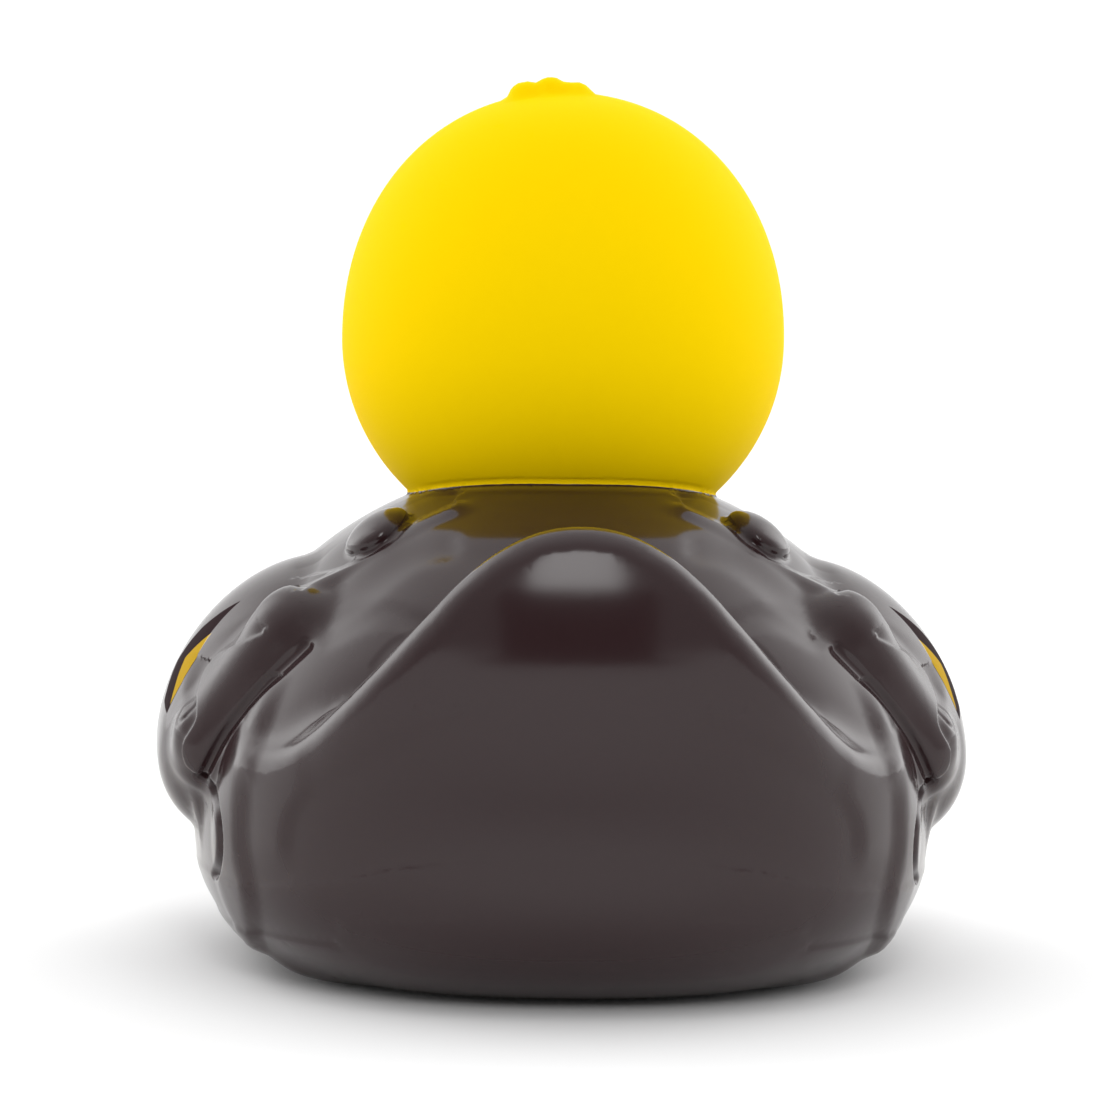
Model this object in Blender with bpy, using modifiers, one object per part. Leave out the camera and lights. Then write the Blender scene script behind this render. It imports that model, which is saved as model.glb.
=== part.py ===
"""A bath duck cast hollow in soft vinyl, in a moulded suit, with a squeaker snapped into its base.

It stands on its flat base at z = 0 and faces -Y. It is the same on both sides of x = 0, apart from its tuft.
Sizes are in metres.
"""

import math
from collections import namedtuple

import bmesh
import bpy
import numpy as np
from mathutils import Matrix, Vector

# The casting's wall, and how finely its outside and its hollow are meshed
WALL = 0.0027
SKIN_FACET = 0.00115
SKIN_TRIANGLES = 6400
HOLLOW_FACET = 0.0028
HOLLOW_TRIANGLES = 1100

# The torso, an egg cut off flat at the base
BODY_WIDTH = 0.0740
BREAST_REACH = 0.0385
RUMP_REACH = 0.0400
WAIST_Z = 0.0150
SHOULDER_RISE = 0.0343
KEEL_DROP = 0.0180
BASE_EDGE_RADIUS = 0.0016

# The head, forward of the middle of the base and sunk into the shoulders
HEAD_WIDTH = 0.0449
HEAD_DEPTH = 0.0449
HEAD_FORWARD = 0.0080
HEAD_SUNK = 0.0093
HEAD_RISE = 0.0250
HEAD_DROP = 0.0216
NECK_FILLET = 0.0018

# The bill and the chin under it
BILL_WIDTH = 0.0200
BILL_REACH = 0.0125
BILL_RISE = 0.0044
BILL_DROP = 0.0024
BILL_BELOW_MIDDLE = 0.0030
BILL_CURL = 9.0
CHIN_WIDTH = 0.0150
CHIN_REACH = 0.0095
CHIN_DROP = 0.0038
CHIN_BELOW_BILL = 0.0020
BILL_FILLET = 0.0012

# The eyes, raised ovals on the face
EYES_APART = 0.0180
EYE_WIDTH = 0.0072
EYE_HEIGHT = 0.0104
EYES_ABOVE_MIDDLE = 0.0060
EYE_RELIEF = 0.0004
EYE_EDGE = 0.0008

# The tuft, a row of curls on the crown
CURLS = 3
CURL_RADIUS = 0.0019
CURL_SPACING = 0.0025
CURL_LENGTH = 0.0050
TUFT_RISE = 0.0016
TUFT_ASIDE = 0.0016
TUFT_AHEAD = 0.0020
TUFT_FILLET = 0.0007

# The tail, a curved wall whose top edge is a bell
TAIL_TOP_Z = 0.0480
TAIL_ROOT_Z = 0.0238
TAIL_HALF_WIDTH = 0.0154
TAIL_BELL_POWER = 3.9
TAIL_BEHIND_RUMP = 0.0040
TAIL_BELLY_Z = 0.0345
TAIL_LEAN = 17.0
TAIL_LIP = 0.0042
TAIL_THICKENING = 0.42
TAIL_EDGE_RADIUS = 0.0024
TAIL_START_Y = 0.0180
TAIL_FILLET = 0.0022

# The arms: how far in from the torso's flank each joint lies, then its place along the duck and above the base
UPPER_ARM_PLACE = (0.0084, 0.0000, 0.0268)
UPPER_ARM_THICKNESS = 0.0202
UPPER_ARM_DEPTH = 0.0350
UPPER_ARM_LENGTH = 0.0300
UPPER_ARM_TILT = math.radians(37)
TRICEPS_TOP = (0.0106, 0.0150, 0.0340)
TRICEPS_END = (0.0030, 0.0118, 0.0228)
TRICEPS_RADIUS = 0.0052
ELBOW = (0.0046, 0.0060, 0.0200)
WRIST = (0.0074, -0.0180, 0.0225)
ELBOW_RADIUS = 0.0074
WRIST_RADIUS = 0.0062
HAND_WIDTH = 0.0140
HAND_LENGTH = 0.0180
HAND_HEIGHT = 0.0140
HAND_AHEAD = 0.0060
HAND_TURN_IN = 0.0030
ARM_FILLET = 0.0010

# A short tube on each flank of the suit, under the elbow, from its top to its end
TUBE_TOP = (0.0018, 0.0090, 0.0180)
TUBE_END = (0.0024, 0.0090, 0.0104)
TUBE_RADIUS = 0.0022

# The suit's shoulders: a strap down each side of the back, and a pad beside it, both sunk into the torso
STRAP_TOP = (0.0112, 0.0122)
STRAP_END = (0.0238, 0.0140)
STRAP_RADIUS = 0.0024
STRAP_SUNK = 0.0019
PAD_PLACE = (0.0188, 0.0095)
PAD_SUNK = 0.0006
PAD_WIDTH = 0.0078
PAD_LENGTH = 0.0100
PAD_RISE = 0.0023
PAD_TILT = math.radians(-38)
SUIT_FILLET = 0.0008

# The suit's seams, seen square on from behind or in front as millimetres out from the middle and up from the base
ARM_SEAM = ((8.8, 43.0), (13.2, 43.6), (19.0, 40.2), (22.6, 37.1), (25.6, 32.3), (28.6, 28.1), (32.2, 25.7),
            (34.6, 21.7), (35.9, 18.2))
SIDE_SEAM = ((12.8, 36.1), (15.6, 37.0), (19.0, 37.1), (21.5, 35.5), (24.6, 32.8), (27.4, 29.2), (28.9, 26.4),
             (30.6, 22.7), (31.3, 17.5), (31.3, 13.9), (30.3, 12.3), (29.6, 7.8), (29.9, 6.1), (28.8, 3.6))
FLANK_SEAM = ((33.9, 18.7), (33.9, 10.2))
TAIL_SEAM = ((0.0, 30.0), (11.4, 28.1), (19.0, 24.0), (26.1, 18.1), (27.0, 17.0), (27.4, 14.2))
NOTCH = ((28.0, 14.2), (31.2, 14.2))
BELT_LINE = ((0.0, 15.1), (11.4, 14.5), (23.0, 11.6), (31.0, 10.3), (37.0, 9.9))
HEM_LINE = ((0.0, 8.7), (12.0, 8.7), (22.7, 8.0), (23.3, 5.4), (31.0, 5.9), (37.0, 5.9))
CLOSURE = ((0.0, 44.0), (0.0, 18.5))
ARM_SEAM_DEPTH = 0.0007
SEAM_DEPTH = 0.0005
TAIL_SEAM_DEPTH = 0.0003
SEAM_WIDTH = 0.0022
LEDGE_HEIGHT = 0.0003
LEDGE_RUN = 0.0010
BUCKLE_WIDTH = 0.0100
BUCKLE_HEIGHT = 0.0074
BUCKLE_RELIEF = 0.0007
SEAM_FADE = 0.0040

# The squeaker's seat in the base, with a boss round it inside the casting
SEAT_AHEAD = 0.0125
SEAT_RADIUS = 0.0060
SEAT_BOSS_WALL = 0.0032
SEAT_BOSS_HEIGHT = 0.0062
CLEARANCE = 0.0003

# The squeaker: a flanged barrel that snaps into the seat, a reed on a ledge in it, and a cap over the reed
FLANGE_RADIUS = 0.0082
FLANGE_THICKNESS = 0.0012
FLANGE_SUNK = 0.0006
BARB_REACH = 0.0006
BARB_HEIGHT = 0.0016
BARREL_WALL = 0.0012
CHAMBER_RADIUS = 0.0034
REED_LEDGE_DEPTH = 0.0016
AIR_HOLE_RADIUS = 0.0012
REED_THICKNESS = 0.0003
TONGUE_WIDTH = 0.0028
TONGUE_LENGTH = 0.0044
TONGUE_SLOT = 0.0005
CAP_WALL = 0.0010
ROUND_STEPS = 32

# How the rough forms are drawn onto the finished surface
SLOPE_STEP = 0.00005
SETTLE_ROUNDS = 8
FLAT_WITHIN = 0.00006

YELLOW_VINYL = (0.96, 0.74, 0.0)
SQUEAKER_WHITE = (0.85, 0.85, 0.82)
REED_AMBER = (0.80, 0.60, 0.25)

HALF_WIDTH = BODY_WIDTH / 2
HEAD_Z = WAIST_Z + SHOULDER_RISE + HEAD_DROP - HEAD_SUNK
FACE_Y = -HEAD_FORWARD - HEAD_DEPTH / 2
BILL_Y = FACE_Y + BILL_REACH / 4
BILL_Z = HEAD_Z - BILL_BELOW_MIDDLE
TAIL_REACH = RUMP_REACH + TAIL_BEHIND_RUMP

Egg = namedtuple("Egg", "centre half_width front rear rise drop powers tilt", defaults=((2, 2, 2), 0.0))
Limb = namedtuple("Limb", "start end start_radius end_radius")

TORSO = Egg((0, 0, WAIST_Z), HALF_WIDTH, BREAST_REACH, RUMP_REACH, SHOULDER_RISE, KEEL_DROP, (2.35, 2.0, 2.75))
HEAD = Egg((0, -HEAD_FORWARD, HEAD_Z), HEAD_WIDTH / 2, HEAD_DEPTH / 2, HEAD_DEPTH / 2, HEAD_RISE, HEAD_DROP,
           (2, 2.1, 2))
BILL = Egg((0, BILL_Y, BILL_Z), BILL_WIDTH / 2, BILL_REACH, BILL_REACH / 2, BILL_RISE, BILL_DROP)
CHIN = Egg((0, BILL_Y, BILL_Z - CHIN_BELOW_BILL), CHIN_WIDTH / 2, CHIN_REACH, BILL_REACH / 2, BILL_DROP, CHIN_DROP)


def from_flank(place):
    """A place beside the torso, from how far it lies in from the flank."""
    inset, along, height = place
    return (HALF_WIDTH - inset, along, height)


def on_back(place, sunk):
    """A place under the torso's top surface, from how far it lies out from the middle and back."""
    plan_power, rise_power, _ = TORSO.powers
    plan = (place[0] / HALF_WIDTH) ** plan_power + (place[1] / RUMP_REACH) ** plan_power
    height = (1 - plan ** (rise_power / plan_power)) ** (1 / rise_power)
    return (place[0], place[1], WAIST_Z + SHOULDER_RISE * height - sunk)


UPPER_ARM = Egg(from_flank(UPPER_ARM_PLACE), UPPER_ARM_THICKNESS / 2, UPPER_ARM_DEPTH / 2, UPPER_ARM_DEPTH / 2,
                UPPER_ARM_LENGTH / 2, UPPER_ARM_LENGTH / 2, tilt=UPPER_ARM_TILT)
TRICEPS = Limb(from_flank(TRICEPS_TOP), from_flank(TRICEPS_END), TRICEPS_RADIUS, TRICEPS_RADIUS)
FOREARM = Limb(from_flank(ELBOW), from_flank(WRIST), ELBOW_RADIUS, WRIST_RADIUS)
TUBE = Limb(from_flank(TUBE_TOP), from_flank(TUBE_END), TUBE_RADIUS, TUBE_RADIUS)
HAND = Egg((HALF_WIDTH - WRIST[0] - HAND_TURN_IN, WRIST[1] - HAND_AHEAD, WRIST[2]), HAND_WIDTH / 2,
           HAND_LENGTH / 2, HAND_LENGTH / 2, HAND_HEIGHT / 2, HAND_HEIGHT / 2)
STRAP = Limb(on_back(STRAP_TOP, STRAP_SUNK), on_back(STRAP_END, STRAP_SUNK), STRAP_RADIUS, STRAP_RADIUS)
PAD = Egg(on_back(PAD_PLACE, PAD_SUNK), PAD_WIDTH / 2, PAD_LENGTH / 2, PAD_LENGTH / 2, PAD_RISE, PAD_RISE,
          tilt=PAD_TILT)


def egg_gauge(egg, offsets):
    """1 on the egg's surface, growing in proportion along each ray from its centre."""
    turn_cos = math.cos(egg.tilt)
    turn_sin = math.sin(egg.tilt)
    across = turn_cos * offsets[:, 0] + turn_sin * offsets[:, 2]
    upward = turn_cos * offsets[:, 2] - turn_sin * offsets[:, 0]
    along = offsets[:, 1]
    plan_power, rise_power, drop_power = egg.powers
    across = np.abs(across) / egg.half_width
    along = np.abs(along) / np.where(along < 0, egg.front, egg.rear)
    plan = (across**plan_power + along**plan_power) ** (1 / plan_power)
    above = upward > 0
    height = np.abs(upward) / np.where(above, egg.rise, egg.drop)
    power = np.where(above, rise_power, drop_power)
    return np.maximum((plan**power + height**power) ** (1 / power), 1e-9)


def from_egg(egg, points):
    """How far the points are outside the egg, negative inside."""
    offsets = points - np.array(egg.centre)
    reach = np.linalg.norm(offsets, axis=1)
    return reach - reach / egg_gauge(egg, offsets)


def from_limb(limb, points):
    """How far the points are outside a rod with round ends."""
    start = np.array(limb.start)
    line = np.array(limb.end) - start
    share = np.clip((points - start) @ line / (line @ line), 0, 1)
    radius = limb.start_radius + share * (limb.end_radius - limb.start_radius)
    return np.linalg.norm(points - start - share[:, None] * line, axis=1) - radius


def joined(first, second, fillet):
    """The union of two forms, with a fillet where they meet."""
    share = np.clip(0.5 + 0.5 * (second - first) / fillet, 0, 1)
    return second + share * (first - second) - fillet * share * (1 - share)


def common(first, second, rounding):
    """What two forms have in common, with the edge rounded."""
    return -joined(-first, -second, rounding)


def tail_top(across):
    """The height of the tail's top edge."""
    return TAIL_ROOT_Z + (TAIL_TOP_Z - TAIL_ROOT_Z) / (1 + (across / TAIL_HALF_WIDTH) ** TAIL_BELL_POWER)


def from_ring(across, along, half_width, reach):
    """How far the points are outside an upright wall with the torso's plan."""
    power = TORSO.powers[0]
    gauge = ((across / half_width) ** power + (np.abs(along) / reach) ** power) ** (1 / power)
    radius = np.hypot(across, along)
    return radius - radius / np.maximum(gauge, 1e-9)


def from_tail(points):
    """How far the points are outside the tail, a wall that thickens downward and leans in at its lip."""
    across = np.abs(points[:, 0])
    along = points[:, 1]
    height = points[:, 2]
    top = tail_top(across)
    slope = (tail_top(across + SLOPE_STEP) - top) / SLOPE_STEP
    reach = TAIL_REACH - TAIL_LEAN * (np.clip(height, 0, TAIL_TOP_Z) - TAIL_BELLY_Z) ** 2
    thickness = TAIL_LIP + TAIL_THICKENING * np.clip(top - height, 0, TAIL_TOP_Z - TAIL_ROOT_Z)
    outside = from_ring(across, along, HALF_WIDTH, reach)
    inside = from_ring(across, along, HALF_WIDTH - thickness, reach - thickness)
    wall = common(outside, -inside, TAIL_EDGE_RADIUS)
    wall = common(wall, (height - top) / np.hypot(1, slope), TAIL_EDGE_RADIUS)
    return common(wall, TAIL_START_Y - along, TAIL_EDGE_RADIUS)


def from_bill(points):
    """How far the points are outside the bill and chin, which curl up towards the tip."""
    uncurled = points.copy()
    uncurled[:, 2] -= BILL_CURL * np.clip(FACE_Y - points[:, 1], 0, BILL_REACH) ** 2
    return joined(from_egg(BILL, uncurled), from_egg(CHIN, uncurled), BILL_FILLET / 2)


def curls():
    """The tuft's curls, short rods side by side that lie front to back over the crown."""
    for number in range(CURLS):
        place = number - (CURLS - 1) / 2
        across = TUFT_ASIDE + place * CURL_SPACING
        along = -HEAD_FORWARD - TUFT_AHEAD
        middle = HEAD_Z + HEAD_RISE + TUFT_RISE - CURL_RADIUS - abs(place) * CURL_RADIUS / 4
        yield Limb((across, along - CURL_LENGTH / 2, middle - CURL_RADIUS / 2),
                   (across, along + CURL_LENGTH / 2, middle), CURL_RADIUS, CURL_RADIUS)


def sided(points):
    """The points with both sides of the duck folded onto +X."""
    return np.column_stack((np.abs(points[:, 0]), points[:, 1], points[:, 2]))


def casting(points):
    """How far the points are outside the duck."""
    halved = sided(points)
    form = joined(from_egg(TORSO, halved), from_tail(halved), TAIL_FILLET)
    arm = joined(from_egg(UPPER_ARM, halved), from_limb(FOREARM, halved), ARM_FILLET * 3)
    arm = joined(arm, from_egg(HAND, halved), ARM_FILLET * 3)
    form = joined(form, arm, ARM_FILLET)
    form = joined(form, from_limb(TRICEPS, halved), ARM_FILLET * 2)
    form = joined(form, from_limb(STRAP, halved), SUIT_FILLET)
    form = joined(form, from_egg(PAD, halved), SUIT_FILLET / 2)
    form = joined(form, from_limb(TUBE, halved), SUIT_FILLET / 2)
    head = joined(from_egg(HEAD, halved), from_bill(halved), BILL_FILLET)
    for curl in curls():
        head = joined(head, from_limb(curl, points), TUFT_FILLET)
    form = joined(form, head, NECK_FILLET)
    return common(form, -points[:, 2], BASE_EDGE_RADIUS)


def hollow(points):
    """How far the points are outside the air space, which follows the torso, the upper arms and the head."""
    halved = sided(points)
    form = joined(from_egg(TORSO, halved), from_egg(UPPER_ARM, halved), WALL)
    form = joined(form, from_egg(HEAD, halved), WALL)
    return common(form, -points[:, 2], BASE_EDGE_RADIUS) + WALL


def from_route(places, route):
    """How far places in the plane are from a route through points in millimetres."""
    stops = np.array(route) / 1000
    nearest = np.full(len(places), np.inf)
    for start, end in zip(stops[:-1], stops[1:]):
        line = end - start
        share = np.clip((places - start) @ line / (line @ line), 0, 1)
        nearest = np.minimum(nearest, np.linalg.norm(places - start - share[:, None] * line, axis=1))
    return nearest


def groove(distance, width):
    """1 along the middle of a groove, falling smoothly to 0 at its edges."""
    return np.clip(1 - (2 * distance / width) ** 2, 0, 1) ** 2


def step_up(distance, run):
    """0 before a ledge and 1 past it, with a smooth rise between."""
    share = np.clip(distance / run + 0.5, 0, 1)
    return share * share * (3 - 2 * share)


def under(places, line):
    """1 below a line across the duck, 0 above it."""
    stops = np.array(line) / 1000
    return step_up(np.interp(places[:, 0], stops[:, 0], stops[:, 1]) - places[:, 1], LEDGE_RUN)


def back_relief(places, clear_of_tail):
    """How far the suit's seams and ledges are pressed in from behind."""
    depth = ARM_SEAM_DEPTH * groove(from_route(places, ARM_SEAM), SEAM_WIDTH)
    for seam in (SIDE_SEAM, FLANK_SEAM, NOTCH):
        depth = np.maximum(depth, SEAM_DEPTH * groove(from_route(places, seam), SEAM_WIDTH))
    depth *= clear_of_tail
    depth = np.maximum(depth, TAIL_SEAM_DEPTH * groove(from_route(places, TAIL_SEAM), SEAM_WIDTH * 1.5))
    return depth - LEDGE_HEIGHT * (under(places, BELT_LINE) / 2 + under(places, HEM_LINE))


def front_relief(places):
    """How far the closure, the belt's buckle and the eyes stand in or out from the front."""
    depth = SEAM_DEPTH * groove(from_route(places, CLOSURE), SEAM_WIDTH)
    depth -= LEDGE_HEIGHT * (under(places, BELT_LINE) / 2 + under(places, HEM_LINE))
    buckle_z = BELT_LINE[0][1] / 1000 - BUCKLE_HEIGHT / 2
    inside = np.minimum(BUCKLE_WIDTH / 2 - places[:, 0], BUCKLE_HEIGHT / 2 - np.abs(places[:, 1] - buckle_z))
    depth -= BUCKLE_RELIEF * step_up(inside, LEDGE_RUN)
    across = (places[:, 0] - EYES_APART / 2) / (EYE_WIDTH / 2)
    upward = (places[:, 1] - HEAD_Z - EYES_ABOVE_MIDDLE) / (EYE_HEIGHT / 2)
    inside = (1 - np.hypot(across, upward)) * EYE_WIDTH / 2
    return depth - EYE_RELIEF * step_up(inside - EYE_EDGE / 2, EYE_EDGE)


def relief(points):
    """How far the surface is pressed in at each point, from behind or from the front."""
    halved = sided(points)
    places = halved[:, (0, 2)]
    clear_of_tail = np.maximum(step_up(from_tail(halved) - from_egg(TORSO, halved), SEAM_WIDTH),
                               step_up(TAIL_ROOT_Z - points[:, 2], SEAM_WIDTH))
    behind = np.clip(points[:, 1] / SEAM_FADE, 0, 1)
    ahead = np.clip(-points[:, 1] / SEAM_FADE, 0, 1)
    above = np.clip(points[:, 2] / SEAM_FADE, 0, 1)
    return above * (behind * back_relief(places, clear_of_tail) + ahead * front_relief(places))


def slopes(form, points, heights):
    """The form's gradient, one row for each point, from its heights there."""
    rows = []
    for axis in range(3):
        step = np.zeros(3)
        step[axis] = SLOPE_STEP
        rows.append((form(points + step) - heights) / SLOPE_STEP)
    return np.stack(rows, axis=1)


def ball_mesh(segments, rings):
    ball = bmesh.new()
    bmesh.ops.create_uvsphere(ball, u_segments=segments, v_segments=rings, radius=1)
    mesh = bpy.data.meshes.new("ball")
    ball.to_mesh(mesh)
    ball.free()
    return mesh


def add_egg(shape, egg):
    """Adds an egg to the rough shape: a ball whose vertices are pushed out to it."""
    mesh = ball_mesh(40, 24)
    directions = mesh_points(mesh)
    store_points(mesh, directions / egg_gauge(egg, directions)[:, None] + egg.centre)
    shape.from_mesh(mesh)


def add_balls(shape, places, radius):
    """Adds a row of balls to the rough shape."""
    for place in places:
        mesh = ball_mesh(14, 8)
        mesh.transform(Matrix.Translation(place) @ Matrix.Scale(radius, 4))
        shape.from_mesh(mesh)


def add_limb(shape, limb, balls=6):
    """Adds a limb to the rough shape as a row of balls."""
    places = [Vector(limb.start).lerp(Vector(limb.end), number / (balls - 1)) for number in range(balls)]
    add_balls(shape, places, (limb.start_radius + limb.end_radius) / 2)


def add_tail(shape, columns=15, rows=7):
    """Adds the tail to the rough shape as a fan of balls inside its wall."""
    power = TORSO.powers[0]
    for column in range(columns):
        across = TAIL_HALF_WIDTH * 1.5 * (2 * column / (columns - 1) - 1)
        around = (1 - (abs(across) / HALF_WIDTH) ** power) ** (1 / power)
        top = tail_top(abs(across)) - TAIL_LIP / 2
        for row in range(rows):
            height = top + (TAIL_ROOT_Z - TAIL_LIP - top) * row / (rows - 1)
            radius = (TAIL_LIP + TAIL_THICKENING * (top - height)) / 2
            reach = TAIL_REACH - TAIL_LEAN * (height - TAIL_BELLY_Z) ** 2 - radius
            add_balls(shape, [(across, reach * around, height)], radius)


def mirror_across(shape):
    """Copies the rough shape to the other side of x = 0."""
    copy = bmesh.ops.duplicate(shape, geom=shape.verts[:] + shape.edges[:] + shape.faces[:])
    faces = [part for part in copy["geom"] if isinstance(part, bmesh.types.BMFace)]
    for part in copy["geom"]:
        if isinstance(part, bmesh.types.BMVert):
            part.co.x = -part.co.x
    bmesh.ops.reverse_faces(shape, faces=faces)


def remeshed(shape, facet):
    """Fuses the rough shape's overlapping solids into one closed mesh of small squares."""
    mesh = bpy.data.meshes.new("rough")
    shape.to_mesh(mesh)
    shape.free()
    rough = bpy.data.objects.new("rough", mesh)
    bpy.context.scene.collection.objects.link(rough)
    remesh = rough.modifiers.new("fuse", "REMESH")
    remesh.mode = "VOXEL"
    remesh.voxel_size = facet
    fused = bpy.data.meshes.new_from_object(rough.evaluated_get(bpy.context.evaluated_depsgraph_get()))
    bpy.data.objects.remove(rough)
    return fused


def mesh_points(mesh):
    points = np.empty(len(mesh.vertices) * 3)
    mesh.vertices.foreach_get("co", points)
    return points.reshape(-1, 3)


def evened(points, edges):
    """Each point moved halfway to the middle of its neighbours."""
    total = np.zeros_like(points)
    count = np.zeros(len(points))
    for near, far in ((edges[:, 0], edges[:, 1]), (edges[:, 1], edges[:, 0])):
        np.add.at(total, near, points[far])
        np.add.at(count, near, 1)
    return (points + total / count[:, None]) / 2


def settle(mesh, form):
    """Draws a rough mesh's vertices onto the form, evening them out on the way."""
    points = mesh_points(mesh)
    edges = np.empty(len(mesh.edges) * 2, dtype=np.int32)
    mesh.edges.foreach_get("vertices", edges)
    edges = edges.reshape(-1, 2)
    for number in range(SETTLE_ROUNDS):
        if number < SETTLE_ROUNDS - 2:
            points = evened(points, edges)
        heights = form(points)
        slope = slopes(form, points, heights)
        steepness = np.maximum((slope**2).sum(axis=1), 0.2)
        points = points - slope * (heights / steepness)[:, None]
    return points


def store_points(mesh, points):
    mesh.vertices.foreach_set("co", points.ravel())
    mesh.update()


def rough_side(shape, eggs, limbs):
    """Adds one side's forms to the rough shape, and their mirror images."""
    for egg in eggs:
        add_egg(shape, egg)
    for limb in limbs:
        add_limb(shape, limb)
    mirror_across(shape)


def flat_below(shape, height):
    """Cuts the rough shape off flat at a height."""
    bmesh.ops.bisect_plane(shape, geom=shape.verts[:] + shape.edges[:] + shape.faces[:],
                           plane_co=(0, 0, height), plane_no=(0, 0, -1), clear_outer=True)
    bmesh.ops.holes_fill(shape, edges=[edge for edge in shape.edges if edge.is_boundary])


def rough_duck():
    shape = bmesh.new()
    rough_side(shape, (UPPER_ARM, HAND, PAD), (TRICEPS, FOREARM, STRAP, TUBE))
    for egg in (TORSO, HEAD, BILL, CHIN):
        add_egg(shape, egg)
    for curl in curls():
        add_limb(shape, curl)
    add_tail(shape)
    flat_below(shape, 0)
    return shape


def rough_hollow():
    shape = bmesh.new()
    rough_side(shape, (UPPER_ARM,), ())
    for egg in (TORSO, HEAD):
        add_egg(shape, egg)
    flat_below(shape, WALL)
    return shape


def plain_material(name, colour, roughness):
    material = bpy.data.materials.new(name)
    material.use_nodes = True
    shader = material.node_tree.nodes["Principled BSDF"]
    shader.inputs["Base Color"].default_value = (*colour, 1)
    shader.inputs["Roughness"].default_value = roughness
    material.diffuse_color = (*colour, 1)
    return material


def new_object(name, mesh, collection):
    made = bpy.data.objects.new(name, mesh)
    collection.objects.link(made)
    return made


def as_cutter(cutter):
    cutter.hide_render = True
    cutter.display_type = "WIRE"
    return cutter


def cut_with(target, cutter, name):
    cut = target.modifiers.new(name, "BOOLEAN")
    cut.operation = "DIFFERENCE"
    cut.object = cutter


def thin_out(target, triangles):
    """Merges the flatter faces until about this many triangles are left."""
    target.data.calc_loop_triangles()
    thin = target.modifiers.new("thin out", "DECIMATE")
    thin.ratio = min(1, triangles / len(target.data.loop_triangles))


def cylinder(name, radius, bottom, top, collection, steps=ROUND_STEPS):
    """An upright cylinder on the squeaker's axis."""
    shape = bmesh.new()
    bmesh.ops.create_cone(shape, cap_ends=True, segments=steps, radius1=radius, radius2=radius, depth=top - bottom)
    mesh = bpy.data.meshes.new(name)
    shape.to_mesh(mesh)
    shape.free()
    made = new_object(name, mesh, collection)
    made.location = (0, -SEAT_AHEAD, (bottom + top) / 2)
    return made


def turned(name, profile, collection):
    """A solid turned about the squeaker's axis from a closed profile of (radius, height)."""
    mesh = bpy.data.meshes.new(name)
    corners = [(radius, 0, height) for radius, height in profile]
    mesh.from_pydata(corners, [(number, (number + 1) % len(corners)) for number in range(len(corners))], [])
    made = new_object(name, mesh, collection)
    made.location = (0, -SEAT_AHEAD, 0)
    screw = made.modifiers.new("turn", "SCREW")
    screw.steps = ROUND_STEPS
    screw.render_steps = ROUND_STEPS
    screw.use_merge_vertices = True
    screw.merge_threshold = 0.00001
    return made


def build_casting(parts, cutters):
    """The one-piece hollow duck, with its seat for the squeaker."""
    mesh = remeshed(rough_duck(), SKIN_FACET)
    points = settle(mesh, casting)
    store_points(mesh, points)
    normals = slopes(casting, points, casting(points))
    normals /= np.maximum(np.linalg.norm(normals, axis=1), 0.1)[:, None]
    points = points - normals * relief(points)[:, None]
    points[np.abs(points[:, 2]) < FLAT_WITHIN, 2] = 0
    store_points(mesh, points)
    duck = new_object("duck_shell", mesh, parts)
    duck.data.materials.append(plain_material("yellow vinyl", YELLOW_VINYL, 0.4))
    thin_out(duck, SKIN_TRIANGLES)

    mesh = remeshed(rough_hollow(), HOLLOW_FACET)
    store_points(mesh, settle(mesh, hollow))
    air = as_cutter(new_object("air space", mesh, cutters))
    thin_out(air, HOLLOW_TRIANGLES)
    boss = cylinder("seat boss", SEAT_RADIUS + SEAT_BOSS_WALL, 0, SEAT_BOSS_HEIGHT, cutters)
    cut_with(air, as_cutter(boss), "leave the boss")
    cut_with(duck, air, "hollow out")
    seat = cylinder("seat", SEAT_RADIUS, -WALL, SEAT_BOSS_HEIGHT + WALL, cutters)
    cut_with(duck, as_cutter(seat), "bore the seat")
    recess_top = FLANGE_SUNK + FLANGE_THICKNESS + CLEARANCE
    recess = cylinder("flange recess", FLANGE_RADIUS + CLEARANCE, -WALL, recess_top, cutters)
    cut_with(duck, as_cutter(recess), "sink the flange")


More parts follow.
